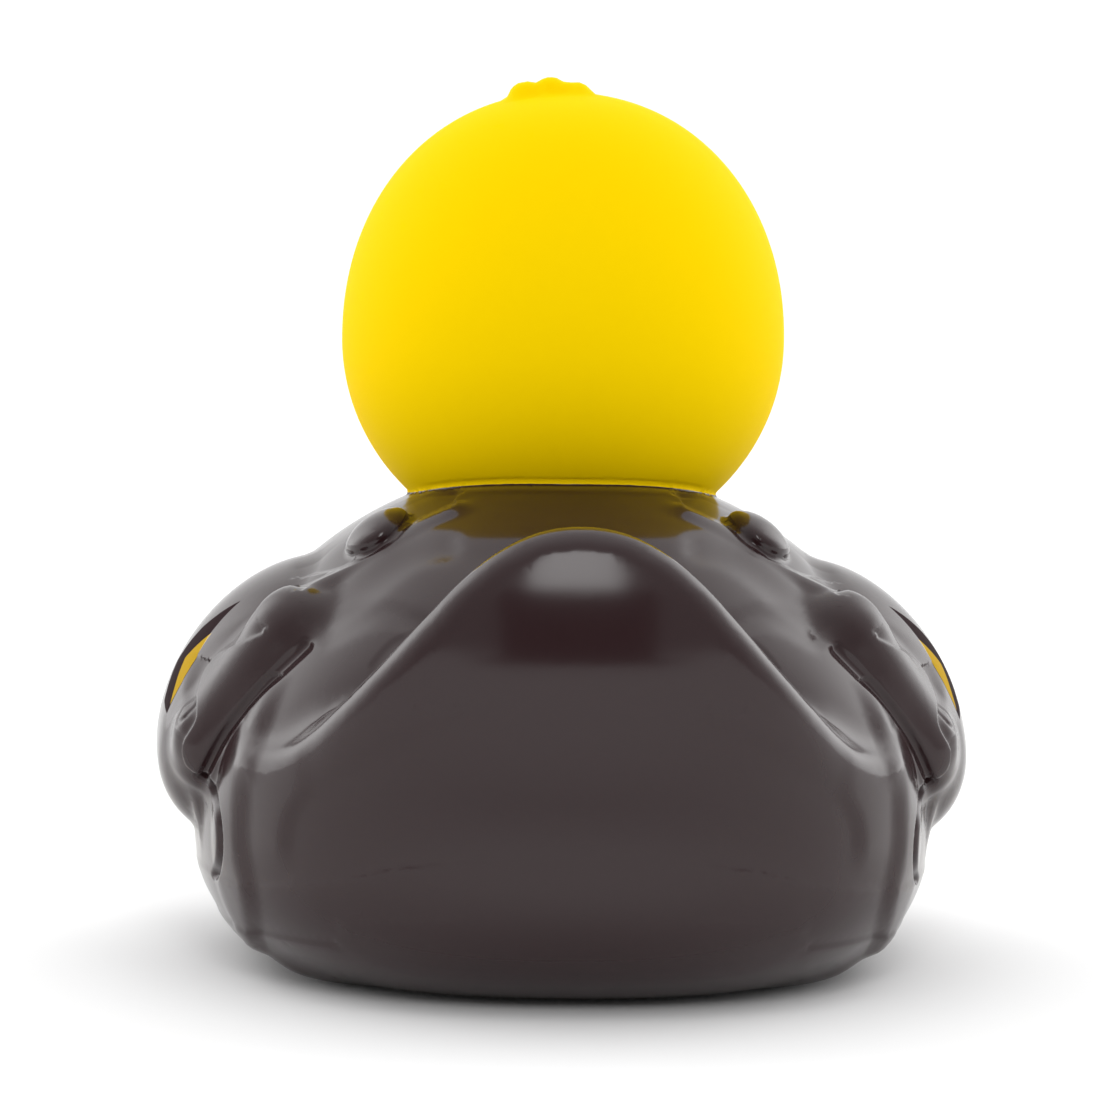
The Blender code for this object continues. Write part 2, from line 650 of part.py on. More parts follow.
def build_squeaker(parts, cutters):
    """The squeaker's barrel, reed and cap."""
    flange_top = FLANGE_SUNK + FLANGE_THICKNESS
    barrel_radius = SEAT_RADIUS - CLEARANCE
    barb_z = SEAT_BOSS_HEIGHT + CLEARANCE
    barb_radius = SEAT_RADIUS + BARB_REACH
    bore_radius = barrel_radius - BARREL_WALL
    barrel_top = barb_z + BARB_HEIGHT
    ledge_z = flange_top + REED_LEDGE_DEPTH
    barrel = turned("squeaker_barrel", (
        (AIR_HOLE_RADIUS, FLANGE_SUNK), (AIR_HOLE_RADIUS, flange_top), (CHAMBER_RADIUS, flange_top),
        (CHAMBER_RADIUS, ledge_z), (bore_radius, ledge_z), (bore_radius, barrel_top),
        (barrel_radius, barrel_top), (barb_radius, barb_z), (barrel_radius, barb_z),
        (barrel_radius, flange_top), (FLANGE_RADIUS, flange_top), (FLANGE_RADIUS, FLANGE_SUNK)), parts)
    barrel.data.materials.append(plain_material("squeaker plastic", SQUEAKER_WHITE, 0.35))

    fit_radius = bore_radius - CLEARANCE
    reed_z = ledge_z + CLEARANCE
    reed = cylinder("squeaker_reed", fit_radius, reed_z, reed_z + REED_THICKNESS, parts)
    reed.data.materials.append(plain_material("reed film", REED_AMBER, 0.3))
    slot = as_cutter(tongue_slot(reed_z, cutters))
    cut_with(reed, slot, "free the tongue")

    cap_z = reed_z + REED_THICKNESS + CLEARANCE
    cap = turned("squeaker_cap", (
        (CHAMBER_RADIUS, cap_z), (CHAMBER_RADIUS, barrel_top - CAP_WALL),
        (AIR_HOLE_RADIUS, barrel_top - CAP_WALL), (AIR_HOLE_RADIUS, barrel_top),
        (fit_radius, barrel_top), (fit_radius, cap_z)), parts)
    cap.data.materials.append(plain_material("cap plastic", SQUEAKER_WHITE, 0.35))


def tongue_slot(reed_z, cutters):
    """The reed's C-shaped slot: a curve round the tongue's free end, made solid by its extrusion and bevel."""
    outline = bpy.data.curves.new("tongue slot", "CURVE")
    outline.dimensions = "2D"
    outline.fill_mode = "BOTH"
    outline.extrude = REED_THICKNESS * 2
    across = TONGUE_WIDTH / 2
    start = -TONGUE_LENGTH / 2
    end = TONGUE_LENGTH / 2
    outer = across + TONGUE_SLOT
    corners = ((-outer, start), (-across, start), (-across, end - TONGUE_SLOT), (across, end - TONGUE_SLOT),
               (across, start), (outer, start), (outer, end), (-outer, end))
    spline = outline.splines.new("POLY")
    spline.points.add(len(corners) - 1)
    for point, corner in zip(spline.points, corners):
        point.co = (*corner, 0, 1)
    spline.use_cyclic_u = True
    drawn = bpy.data.objects.new("tongue slot outline", outline)
    cutters.objects.link(drawn)
    mesh = bpy.data.meshes.new_from_object(drawn.evaluated_get(bpy.context.evaluated_depsgraph_get()))
    bpy.data.objects.remove(drawn)
    welded = bmesh.new()
    welded.from_mesh(mesh)
    bmesh.ops.remove_doubles(welded, verts=welded.verts, dist=0.00001)
    welded.to_mesh(mesh)
    welded.free()
    slot = new_object("tongue slot", mesh, cutters)
    slot.location = (0, -SEAT_AHEAD, reed_z + REED_THICKNESS / 2)
    return slot


def main():
    for old in list(bpy.data.objects):
        bpy.data.objects.remove(old, do_unlink=True)
    parts = bpy.data.collections.new("rubber duck")
    cutters = bpy.data.collections.new("cutters")
    for collection in (parts, cutters):
        bpy.context.scene.collection.children.link(collection)
    build_casting(parts, cutters)
    build_squeaker(parts, cutters)


main()
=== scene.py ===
"""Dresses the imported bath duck: a moulded, painted vinyl skin, its squeaker and a plain white studio."""

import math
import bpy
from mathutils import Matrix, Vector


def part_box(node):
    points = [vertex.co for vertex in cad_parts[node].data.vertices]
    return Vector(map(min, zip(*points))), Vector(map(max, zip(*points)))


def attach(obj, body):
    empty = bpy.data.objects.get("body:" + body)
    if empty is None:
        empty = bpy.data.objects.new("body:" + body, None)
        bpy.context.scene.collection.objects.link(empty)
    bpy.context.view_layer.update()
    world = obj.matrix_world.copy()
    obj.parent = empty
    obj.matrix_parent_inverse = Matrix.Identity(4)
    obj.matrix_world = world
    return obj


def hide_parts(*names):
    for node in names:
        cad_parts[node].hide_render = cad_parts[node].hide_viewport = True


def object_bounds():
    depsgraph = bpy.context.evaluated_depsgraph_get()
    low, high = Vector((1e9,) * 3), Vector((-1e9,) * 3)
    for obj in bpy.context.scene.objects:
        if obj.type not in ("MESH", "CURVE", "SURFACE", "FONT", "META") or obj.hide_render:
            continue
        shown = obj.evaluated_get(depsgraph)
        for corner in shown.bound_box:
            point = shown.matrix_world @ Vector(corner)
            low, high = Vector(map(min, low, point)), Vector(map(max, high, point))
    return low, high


bl_info = {
    "name": "Bath Duck",
    "version": (1, 0, 0),
    "blender": (4, 5, 0),
    "location": "View3D > Sidebar > Duck",
    "description": "Moulds and paints a vinyl bath duck in a suit over its packed solids",
    "category": "Object",
}

from collections import namedtuple

import bmesh
import bpy
import numpy as np
from bpy.props import FloatProperty, FloatVectorProperty, IntProperty, PointerProperty
from mathutils import Matrix, Vector

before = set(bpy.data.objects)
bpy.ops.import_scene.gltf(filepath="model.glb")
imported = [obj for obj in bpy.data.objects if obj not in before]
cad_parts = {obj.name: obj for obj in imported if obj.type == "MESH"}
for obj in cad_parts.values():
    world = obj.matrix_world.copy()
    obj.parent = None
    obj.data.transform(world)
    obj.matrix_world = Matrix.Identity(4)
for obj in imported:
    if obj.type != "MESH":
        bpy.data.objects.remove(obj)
CAD_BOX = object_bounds()

Egg = namedtuple("Egg", "centre half_width front rear rise drop powers tilt", defaults=((2, 2, 2), 0.0))
Limb = namedtuple("Limb", "start end radius end_radius")
Forms = namedtuple("Forms", "torso head bill chin upper_arm triceps forearm hand tube strap pad curls "
                            "face_y")
Seam = namedtuple("Seam", "name depth inner outer route")
Panel = namedtuple("Panel", "name height run fade foot head route")


def length(name, description, default):
    """A size in metres."""
    return FloatProperty(name=name, description=description, default=default, min=0.0, precision=5,
                         unit="LENGTH")


def share(name, description, default):
    return FloatProperty(name=name, description=description, default=default, min=0.0, max=1.0,
                         subtype="FACTOR")


def strength(name, description, default, unit="NONE"):
    return FloatProperty(name=name, description=description, default=default, min=0.0, unit=unit)


def angle(name, description, degrees):
    return FloatProperty(name=name, description=description, default=math.radians(degrees), subtype="ANGLE")


def paint(name, description, default):
    return FloatVectorProperty(name=name, description=description, default=default, size=3, min=0.0, max=1.0,
                               subtype="COLOR")


class DuckSizes(bpy.types.PropertyGroup):
    """The casting's main sizes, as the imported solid's, with a slightly fuller tail."""

    body_width: length("Body width", "Width of the torso without its arms", 0.0740)
    breast_reach: length("Breast reach", "How far the torso reaches forward", 0.0385)
    rump_reach: length("Rump reach", "How far the torso reaches back", 0.0400)
    waist_z: length("Waist height", "Height of the torso's widest part", 0.0150)
    shoulder_rise: length("Shoulder rise", "Height of the torso above its waist", 0.0343)
    keel_drop: length("Keel drop", "How far the torso reaches below its waist before it is cut flat", 0.0180)
    base_edge: length("Base edge", "Rounding of the base's edge", 0.0016)
    head_width: length("Head width", "Width and depth of the head", 0.0449)
    head_forward: length("Head forward", "How far forward of the base's middle the head sits", 0.0080)
    head_sunk: length("Head sunk", "How far the head is sunk into the shoulders", 0.0093)
    head_rise: length("Head rise", "Height of the crown above the head's middle", 0.0250)
    head_drop: length("Head drop", "How far the head reaches below its middle", 0.0216)
    neck_fillet: length("Neck crease", "Rounding of the crease between head and suit", 0.0005)
    collar_rise: length("Collar rise", "How far the suit rises behind the neck", 0.0005)
    bill_width: length("Bill width", "Width of the bill", 0.0200)
    bill_reach: length("Bill reach", "How far the bill stands out from the face", 0.0125)
    eyes_apart: length("Eyes apart", "Distance between the eyes' middles", 0.0180)
    eye_width: length("Eye width", "Width of an eye", 0.0072)
    eye_height: length("Eye height", "Height of an eye", 0.0104)
    eyes_above: length("Eyes above middle", "Height of the eyes above the head's middle", 0.0060)
    curl_radius: length("Curl radius", "Radius of each curl of the tuft", 0.0019)
    curl_spacing: length("Curl spacing", "Distance between the tuft's curls", 0.0025)
    tuft_rise: length("Tuft rise", "Height of the tuft above the crown", 0.0016)
    tuft_aside: length("Tuft aside", "How far to one side the tuft lies", 0.0016)
    tail_top_z: length("Tail top", "Height of the tail's top edge", 0.0480)
    tail_root_z: length("Tail root", "Height of the tail's edge at its sides", 0.0238)
    tail_half_width: length("Tail half width", "Half the width of the tail at half its height", 0.0177)
    tail_slope: strength("Tail slope", "How steeply the tail's edge falls to each side", 1.14)
    tail_behind: length("Tail behind rump", "How far the tail stands behind the rump", 0.0040)
    tail_belly_z: length("Tail belly", "Height at which the tail reaches furthest back", 0.0345)
    tail_lip: length("Tail lip", "Thickness of the tail at its edge", 0.0042)
    facet: length("Facet", "Size of the skin's facets before they are refined at the seams", 0.00088)
    curls: IntProperty(name="Curls", description="Number of curls in the tuft", default=3, min=1, max=7)


class DuckSuit(bpy.types.PropertyGroup):
    """How deep the suit's moulded details are."""

    relief: FloatProperty(name="Relief", description="How deep the seams are, as a share of their own depth",
                          default=1.0, min=0.0, max=2.0)
    ledge_height: length("Ledge height", "How far the belt and the hem stand out", 0.00008)
    ledge_run: length("Ledge run", "Width of a ledge's slope", 0.0009)
    ledge_fade: length("Ledge fade", "Distance over which a ledge sinks back into the suit", 0.0070)
    lip_depth: length("Lip depth", "Depth of the line above the head's lower edge", 0.00010)
    buckle_height: length("Buckle height", "How far the buckle stands out", 0.0007)
    eye_height: length("Eye height", "How far the eyes stand out", 0.0004)
    stud_depth: length("Stud depth", "Depth of the ring round the stud on each arm", 0.00016)


class DuckPaint(bpy.types.PropertyGroup):
    """The colours of the vinyl and of the paint on it."""

    vinyl: paint("Vinyl", "Yellow of the head", (0.95, 0.645, 0.0))
    suit: paint("Suit", "Dark brown of the suit", (0.0228, 0.0094, 0.0106))
    bill: paint("Bill", "Orange of the bill", (0.90, 0.22, 0.012))
    patch: paint("Arm patch", "Ochre of the patch on each arm", (0.50, 0.31, 0.02))
    patch_edge: paint("Patch edge", "Matt brown round each patch", (0.022, 0.010, 0.012))
    white: paint("Eye white", "White of the eyes", (0.82, 0.82, 0.80))
    black: paint("Black", "Black of the pupils", (0.006, 0.005, 0.005))
    matt: share("Vinyl roughness", "Roughness of the bare vinyl", 0.55)
    shine: share("Vinyl shine", "How much the bare vinyl shines", 0.01)
    gloss: share("Lacquer roughness", "Roughness of the suit's lacquer", 0.16)
    squeaker: paint("Squeaker", "White of the squeaker's plastic", (0.80, 0.80, 0.77))
    reed: paint("Reed", "Amber of the squeaker's reed", (0.62, 0.42, 0.12))


class DuckStudio(bpy.types.PropertyGroup):
    """The camera and the light round the duck."""

    camera_distance: length("Camera distance", "From the camera to the duck's middle", 0.70)
    camera_turn: angle("Camera turn", "How far the camera stands to one side of straight behind", 2.5)
    camera_rise: angle("Camera elevation", "Height of the camera above level", 7)
    camera_roll: angle("Camera roll", "How far the camera is rolled about its own axis", 0.8)
    frame_width: length("Frame width", "Width that the picture spans at the duck", 0.1126)
    aim_x: length("Aim aside", "How far to one side the camera aims", 0.0005)
    aim_z: length("Aim height", "Height that the camera aims at", 0.0401)
    room: strength("Room light", "Strength of the white room", 1.05)
    room_sides: strength("Room at the sides", "How much brighter the room is beyond the duck's sides", 1.55)
    room_front: share("Room in front", "Share of the room's light that comes from the camera's side", 0.50)
    room_above: strength("Room above", "How much brighter the room is overhead", 0.35)
    panel: strength("Panel light", "Power of the light panel", 1.85, unit="POWER")


# Millimetres in a metre
MM = 1000
# Where the studio's light panel, dark card and dark cloth stand
PANEL_PLACE = (-0.018, 0.84, 0.58)
PANEL_WIDTH = 0.27
PANEL_HEIGHT = 0.40
CARD_PLACE = (-0.024, 0.90, 0.19)
CARD_WIDTH = 0.52
CLOTH_PLACE = (-0.024, 0.69, 0.0002)
# The suit's seams in millimetres: how deep they are, how far they reach inward and outward,
# and their routes from top to bottom, as distances from the middle and heights, seen square on from behind
SEAMS = (
    Seam("arm and back", 0.30, 0.8, 0.8, ((26.0, 34.0), (29.6, 30.2), (33.7, 24.8), (36.0, 20.2))),
    Seam("back of the shoulder", 0.36, 0.35, 1.3, (
        (11.5, 47.2), (15.8, 45.2), (19.7, 42.4), (26.5, 39.1))),
    Seam("valley of the back", 0.30, 1.6, 1.6, ((12.0, 43.6), (16.0, 42.4), (20.5, 39.2), (24.4, 36.4))),
    Seam("back of the arm", 0.24, 0.35, 1.2, (
        (30.5, 34.9), (33.5, 33.1), (35.9, 30.8), (37.0, 28.2), (37.1, 25.8), (38.4, 23.2), (38.0, 20.8),
        (36.2, 19.7))),
    Seam("tube", 0.38, 0.3, 0.6, ((36.6, 19.9), (34.9, 19.4), (34.0, 16.8), (33.8, 13.4), (34.4, 10.4))),
    Seam("upper fold", 0.30, 1.6, 1.6, ((24.0, 35.3), (20.1, 37.4), (17.5, 37.6), (14.0, 36.7))),
    Seam("lower fold", 0.08, 0.6, 0.9, ((19.5, 32.9), (17.6, 35.0), (14.5, 36.6))),
)
# The suit's panels in millimetres: how far their outer side stands proud, the width of the slope at their
# edge, how far they take to sink back into the suit, the heights at which they end, and the edge's route
PANELS = (
    Panel("side", 0.36, 1.5, 5.5, 1.0, 29.5, (
        (22.4, 38.4), (24.6, 33.8), (27.5, 30.2), (29.4, 25.6), (31.0, 21.5), (31.2, 17.5), (31.1, 13.9),
        (30.2, 10.0), (29.7, 5.6), (28.6, 1.0))),
    Panel("tail", 0.22, 1.9, 6.0, 14.5, 40.0, (
        (0.0, 31.0), (9.5, 30.2), (17.6, 26.6), (23.6, 22.0), (26.0, 19.3), (26.8, 16.0), (26.9, 10.0))),
)
# Lines across the suit in millimetres, as distances from the middle and heights
BELT_LINE = ((0.0, 16.2), (9.3, 15.8), (17.4, 14.5), (24.8, 12.2), (31.0, 10.9), (37.0, 10.4))
HEM_LINE = ((0.0, 10.1), (9.2, 10.1), (22.4, 8.9), (22.7, 6.0), (28.7, 5.8), (37.0, 5.6))
CLOSURE = ((0.0, 44.0), (0.0, 17.4))
# Outlines on the side of the arm in millimetres, as distances back from the middle and heights
PATCH = ((7.1, 33.3), (4.4, 30.3), (6.8, 25.8), (7.5, 28.3), (7.5, 30.5))
PATCH_EDGE = ((6.0, 36.4), (2.8, 33.2), (0.5, 29.5), (3.0, 25.8), (6.8, 25.0), (7.6, 28.3), (7.6, 30.5))
STUD_PLACE = (0.0126, 0.0264)
STUD_RADIUS = 0.0011
TAIL_STARTS_Y = 0.0325
TAIL_CURVE = 17.0
TAIL_TAPER = 0.42
TAIL_CREST = 0.0075
TAIL_FOOT = 0.0040
TAIL_EDGE = 0.0024
TAIL_FRONT_Y = 0.0180
FLANK_X = 0.0330
FLANK_RUN = 0.0036
FLANK_SINK = 0.0060
PLAN_POWER = 2.35
BILL_CURL = 9.0
COLLAR_HALF_WIDTH = 0.0170
COLLAR_BACK_Y = 0.0230
COLLAR_LOW_Z = 0.0435
CLOSURE_DEPTH = 0.0004
CLOSURE_WIDTH = 0.0012
BUCKLE_HALF_WIDTH = 0.0050
BUCKLE_HALF_HEIGHT = 0.0037
BUCKLE_RIM = 0.0014
PUPIL_RADIUS = 0.0021
PUPIL_INWARD = 0.0007
PUPIL_LOW = 0.0008
SEAT_CLEARANCE = 0.0003
SEAT_BORE_RADIUS = 0.0060
FLANGE_RECESS = 0.0021
SLOPE_STEP = 0.00005
# How the creases between the suit's forms are rounded
CREASES = {"tail": 0.0020, "shoulder": 0.0030, "arm": 0.0008, "triceps": 0.0016, "strap": 0.0007,
           "pad": 0.0003, "tube": 0.0003}


def forms_of(sizes):
    """The duck's main forms, from its sizes."""
    half = sizes.body_width / 2
    head_z = sizes.waist_z + sizes.shoulder_rise + sizes.head_drop - sizes.head_sunk
    head_half = sizes.head_width / 2
    face_y = -sizes.head_forward - head_half
    bill_y = face_y + sizes.bill_reach / 4
    bill_z = head_z - 0.0030
    torso = Egg((0, 0, sizes.waist_z), half, sizes.breast_reach, sizes.rump_reach, sizes.shoulder_rise,
                sizes.keel_drop, (PLAN_POWER, 2.0, 2.75))

    def on_back(across, along, sunk):
        plan = (across / half) ** PLAN_POWER + (along / sizes.rump_reach) ** PLAN_POWER
        rise = sizes.shoulder_rise * (1 - plan ** (2 / PLAN_POWER)) ** 0.5
        return (across, along, sizes.waist_z + rise - sunk)

    curls = []
    for number in range(sizes.curls):
        place = number - (sizes.curls - 1) / 2
        across = sizes.tuft_aside + place * sizes.curl_spacing
        middle = head_z + sizes.head_rise + sizes.tuft_rise - sizes.curl_radius * (1 + abs(place) / 4)
        along = -sizes.head_forward - 0.0020
        curls.append(Limb((across, along - 0.0025, middle - sizes.curl_radius / 2),
                          (across, along + 0.0025, middle), sizes.curl_radius, sizes.curl_radius))
    return Forms(
        torso=torso,
        head=Egg((0, -sizes.head_forward, head_z), head_half, head_half, head_half, sizes.head_rise,
                 sizes.head_drop, (2, 2.1, 2)),
        bill=Egg((0, bill_y, bill_z), sizes.bill_width / 2, sizes.bill_reach, sizes.bill_reach / 2,
                 0.0044, 0.0024),
        chin=Egg((0, bill_y, bill_z - 0.0020), 0.0075, 0.0095, sizes.bill_reach / 2, 0.0024, 0.0038),
        upper_arm=Egg((half - 0.0084, 0, 0.0268), 0.0101, 0.0175, 0.0175, 0.0150, 0.0150,
                      tilt=math.radians(37)),
        triceps=Limb((half - 0.0106, 0.0150, 0.0340), (half - 0.0030, 0.0118, 0.0228), 0.0052, 0.0052),
        forearm=Limb((half - 0.0046, 0.0060, 0.0200), (half - 0.0074, -0.0180, 0.0225), 0.0074, 0.0062),
        hand=Egg((half - 0.0104, -0.0240, 0.0225), 0.0070, 0.0090, 0.0090, 0.0070, 0.0070),
        tube=Limb((half - 0.0018, 0.0112, 0.0182), (half - 0.0034, 0.0100, 0.0108), 0.0022, 0.0022),
        strap=Limb(on_back(0.0112, 0.0122, 0.0019), on_back(0.0238, 0.0140, 0.0019), 0.0024, 0.0024),
        pad=Egg(on_back(0.0188, 0.0095, 0.0006), 0.0039, 0.0050, 0.0050, 0.0023, 0.0023,
                tilt=math.radians(-38)),
        curls=curls,
        face_y=face_y,
    )


def egg_gauge(egg, offsets):
    """1 on the egg's surface, growing in proportion along each ray from its centre."""
    turn_cos = math.cos(egg.tilt)
    turn_sin = math.sin(egg.tilt)
    across = np.abs(turn_cos * offsets[:, 0] + turn_sin * offsets[:, 2]) / egg.half_width
    upward = turn_cos * offsets[:, 2] - turn_sin * offsets[:, 0]
    along = np.abs(offsets[:, 1]) / np.where(offsets[:, 1] < 0, egg.front, egg.rear)
    plan_power, rise_power, drop_power = egg.powers
    plan = (across**plan_power + along**plan_power) ** (1 / plan_power)
    height = np.abs(upward) / np.where(upward > 0, egg.rise, egg.drop)
    power = np.where(upward > 0, rise_power, drop_power)
    return np.maximum((plan**power + height**power) ** (1 / power), 1e-9)


def from_egg(egg, points):
    """How far the points are outside the egg, negative inside."""
    offsets = points - np.array(egg.centre)
    reach = np.linalg.norm(offsets, axis=1)
    return reach - reach / egg_gauge(egg, offsets)


def from_limb(limb, points):
    """How far the points are outside a rod with round ends."""
    start = np.array(limb.start)
    line = np.array(limb.end) - start
    along = np.clip((points - start) @ line / (line @ line), 0, 1)
    radius = limb.radius + along * (limb.end_radius - limb.radius)
    return np.linalg.norm(points - start - along[:, None] * line, axis=1) - radius


def joined(first, second, fillet):
    """The union of two forms, with a fillet where they meet."""
    lean = np.clip(0.5 + 0.5 * (second - first) / fillet, 0, 1)
    return second + lean * (first - second) - fillet * lean * (1 - lean)


def common(first, second, rounding):
    """What two forms have in common, with the edge rounded."""
    return -joined(-first, -second, rounding)


def sided(points):
    """The points with both sides of the duck folded onto +X."""
    return np.column_stack((np.abs(points[:, 0]), points[:, 1], points[:, 2]))


def tail_top(sizes, across):
    """The height of the tail's top edge, which sinks into the body at the flanks."""
    fall = sizes.tail_top_z - sizes.tail_root_z
    drop = common(0 * across, sizes.tail_slope * (across - sizes.tail_half_width) + fall / 2, TAIL_CREST)
    sunk = FLANK_SINK * step_up(across - FLANK_X, FLANK_RUN)
    return sizes.tail_top_z - joined(drop, fall, TAIL_FOOT) - sunk


def from_ring(across, along, half_width, reach):
    """How far the points are outside an upright wall with the torso's plan."""
    plan = (across / half_width) ** PLAN_POWER + (np.abs(along) / reach) ** PLAN_POWER
    gauge = plan ** (1 / PLAN_POWER)
    radius = np.hypot(across, along)
    return radius - radius / np.maximum(gauge, 1e-9)


def from_tail(sizes, points):
    """How far the points are outside the tail, a wall that thickens downward and leans in at its lip."""
    across = np.abs(points[:, 0])
    height = points[:, 2]
    top = tail_top(sizes, across)
    slope = (tail_top(sizes, across + SLOPE_STEP) - top) / SLOPE_STEP
    reach = sizes.rump_reach + sizes.tail_behind
    reach = reach - TAIL_CURVE * (np.clip(height, 0, sizes.tail_top_z) - sizes.tail_belly_z) ** 2
    thickness = sizes.tail_lip + TAIL_TAPER * np.clip(top - height, 0, sizes.tail_top_z - sizes.tail_root_z)
    half = sizes.body_width / 2
    outside = from_ring(across, points[:, 1], half, reach)
    inside = from_ring(across, points[:, 1], half - thickness, reach - thickness)
    wall = common(outside, -inside, TAIL_EDGE)
    wall = common(wall, (height - top) / np.hypot(1, slope), TAIL_EDGE)
    return common(wall, TAIL_FRONT_Y - points[:, 1], TAIL_EDGE)


def from_bill(forms, points):
    """How far the points are outside the bill and chin, which curl up towards the tip."""
    uncurled = points.copy()
    uncurled[:, 2] -= BILL_CURL * np.clip(forms.face_y - points[:, 1], 0, forms.bill.front) ** 2
    return joined(from_egg(forms.bill, uncurled), from_egg(forms.chin, uncurled), 0.0005)


def from_head(forms, points):
    """How far the points are outside the head with its bill and tuft."""
    halved = sided(points)
    head = joined(from_egg(forms.head, halved), from_bill(forms, halved), 0.0010)
    for curl in forms.curls:
        head = joined(head, from_limb(curl, points), 0.0005)
    return head


def from_suit(sizes, forms, points):
    """How far the points are outside the suit: torso, tail, arms, straps and pads."""
    halved = sided(points)
    form = joined(from_egg(forms.torso, halved), from_tail(sizes, halved), CREASES["tail"])
    arm = joined(from_egg(forms.upper_arm, halved), from_limb(forms.forearm, halved), CREASES["shoulder"])
    arm = joined(arm, from_egg(forms.hand, halved), CREASES["shoulder"])
    form = joined(form, arm, CREASES["arm"])
    form = joined(form, from_limb(forms.triceps, halved), CREASES["triceps"])
    form = joined(form, from_limb(forms.strap, halved), CREASES["strap"])
    form = joined(form, from_egg(forms.pad, halved), CREASES["pad"])
    form = joined(form, from_limb(forms.tube, halved), CREASES["tube"])
    behind_neck = step_up(halved[:, 1], 0.0060) * step_up(COLLAR_BACK_Y - halved[:, 1], 0.0080)
    across = np.clip(1 - (halved[:, 0] / COLLAR_HALF_WIDTH) ** 2, 0, 1)
    return form - sizes.collar_rise * across * behind_neck * step_up(halved[:, 2] - COLLAR_LOW_Z, 0.0030)


def casting(sizes, forms, points):
    """How far the points are outside the duck."""
    form = joined(from_suit(sizes, forms, points), from_head(forms, points), sizes.neck_fillet)
    return common(form, -points[:, 2], sizes.base_edge)


def smoothed(route, steps=4):
    """A route with its corners rounded, by Catmull and Rom's curve through its points."""
    before_first = (-route[1][0], route[1][1]) if route[0][0] == 0 else route[0]
    ends = (before_first, *route, route[-1])
    curve = []
    for before, start, end, after in zip(ends, ends[1:], ends[2:], ends[3:]):
        for step in range(steps):
            t = step / steps
            curve.append(tuple(
                0.5 * (2 * b + (c - a) * t + (2 * a - 5 * b + 4 * c - d) * t * t
                       + (3 * b - 3 * c + d - a) * t**3)
                for a, b, c, d in zip(before, start, end, after)))
    return (*curve, route[-1])


def from_route(places, route):
    """How far places are from a route in millimetres, and 1 on its outer side or -1 on its inner."""
    stops = np.array(smoothed(route)) / MM
    nearest = np.full(len(places), np.inf)
    side = np.ones(len(places))
    for start, end in zip(stops[:-1], stops[1:]):
        line = end - start
        offset = places - start
        along = np.clip(offset @ line / (line @ line), 0, 1)
        distance = np.linalg.norm(offset - along[:, None] * line, axis=1)
        turn = np.sign(line[0] * offset[:, 1] - line[1] * offset[:, 0])
        side = np.where(distance < nearest, turn, side)
        nearest = np.minimum(nearest, distance)
    return nearest, side


def groove(distance, width):
    """1 along the middle of a groove, falling smoothly to 0 at its edges."""
    return np.clip(1 - (2 * distance / width) ** 2, 0, 1) ** 2


def step_up(distance, run):
    """0 before a ledge and 1 past it, with a smooth rise between."""
    lean = np.clip(distance / run + 0.5, 0, 1)
    return lean * lean * (3 - 2 * lean)


def fading(share_of_reach):
    """1 at the start and 0 from the full reach on, smooth at both ends."""
    return (1 - np.clip(share_of_reach, 0, 1) ** 2) ** 2


def above_line(places, line):
    """How far places are above a line across the duck."""
    stops = np.array(line) / MM
    return places[:, 1] - np.interp(places[:, 0], stops[:, 0], stops[:, 1])


def seam_depth(seam, places):
    """How deep a seam is at places in the plane, in metres."""
    distance, side = from_route(places, seam.route)
    reach = np.where(side > 0, seam.outer, seam.inner) / MM
    return seam.depth / MM * groove(distance, 2 * reach)


def panel_height(panel, places):
    """How far a panel stands proud at places in the plane, in metres."""
    distance, side = from_route(places, panel.route)
    beyond = distance * side * MM
    height = panel.height / MM * step_up(beyond - panel.run / 2, panel.run)
    ends = step_up(places[:, 1] - panel.foot / MM, 0.0040)
    ends *= step_up(panel.head / MM - places[:, 1], 0.0060)
    return height * fading(distance * MM / panel.fade) * ends


def ledge(suit, places, line):
    """1 just below a ledge, 0 above it, sinking back into the suit further down."""
    above = above_line(places, line)
    return step_up(-above, suit.ledge_run) * np.clip(1 + np.minimum(above, 0) / suit.ledge_fade, 0, 1)


def from_stud(points):
    """How far the points are from the ring round the oval stud on the side of an arm."""
    return np.linalg.norm((points[:, 1:] - STUD_PLACE) * (1.1, 0.8), axis=1) - STUD_RADIUS


def back_relief(suit, points, places):
    """How far the suit's seams, ledges and studs are pressed in or stand out from behind."""
    pressed = np.zeros(len(points))
    for seam in SEAMS:
        pressed += suit.relief * seam_depth(seam, places)
    for panel in PANELS:
        pressed -= suit.relief * panel_height(panel, places)
    to_side = step_up(places[:, 0] - 0.0130, 0.0120)
    pressed -= suit.ledge_height * to_side * ledge(suit, places, BELT_LINE)
    pressed -= suit.ledge_height * (0.3 + to_side) * ledge(suit, places, HEM_LINE)
    pressed *= step_up(TAIL_STARTS_Y - points[:, 1], 0.0020) + (places[:, 1] < 0.031)
    pressed += suit.stud_depth * groove(from_stud(points), 0.0008) * (places[:, 0] > 0.034)
    return pressed


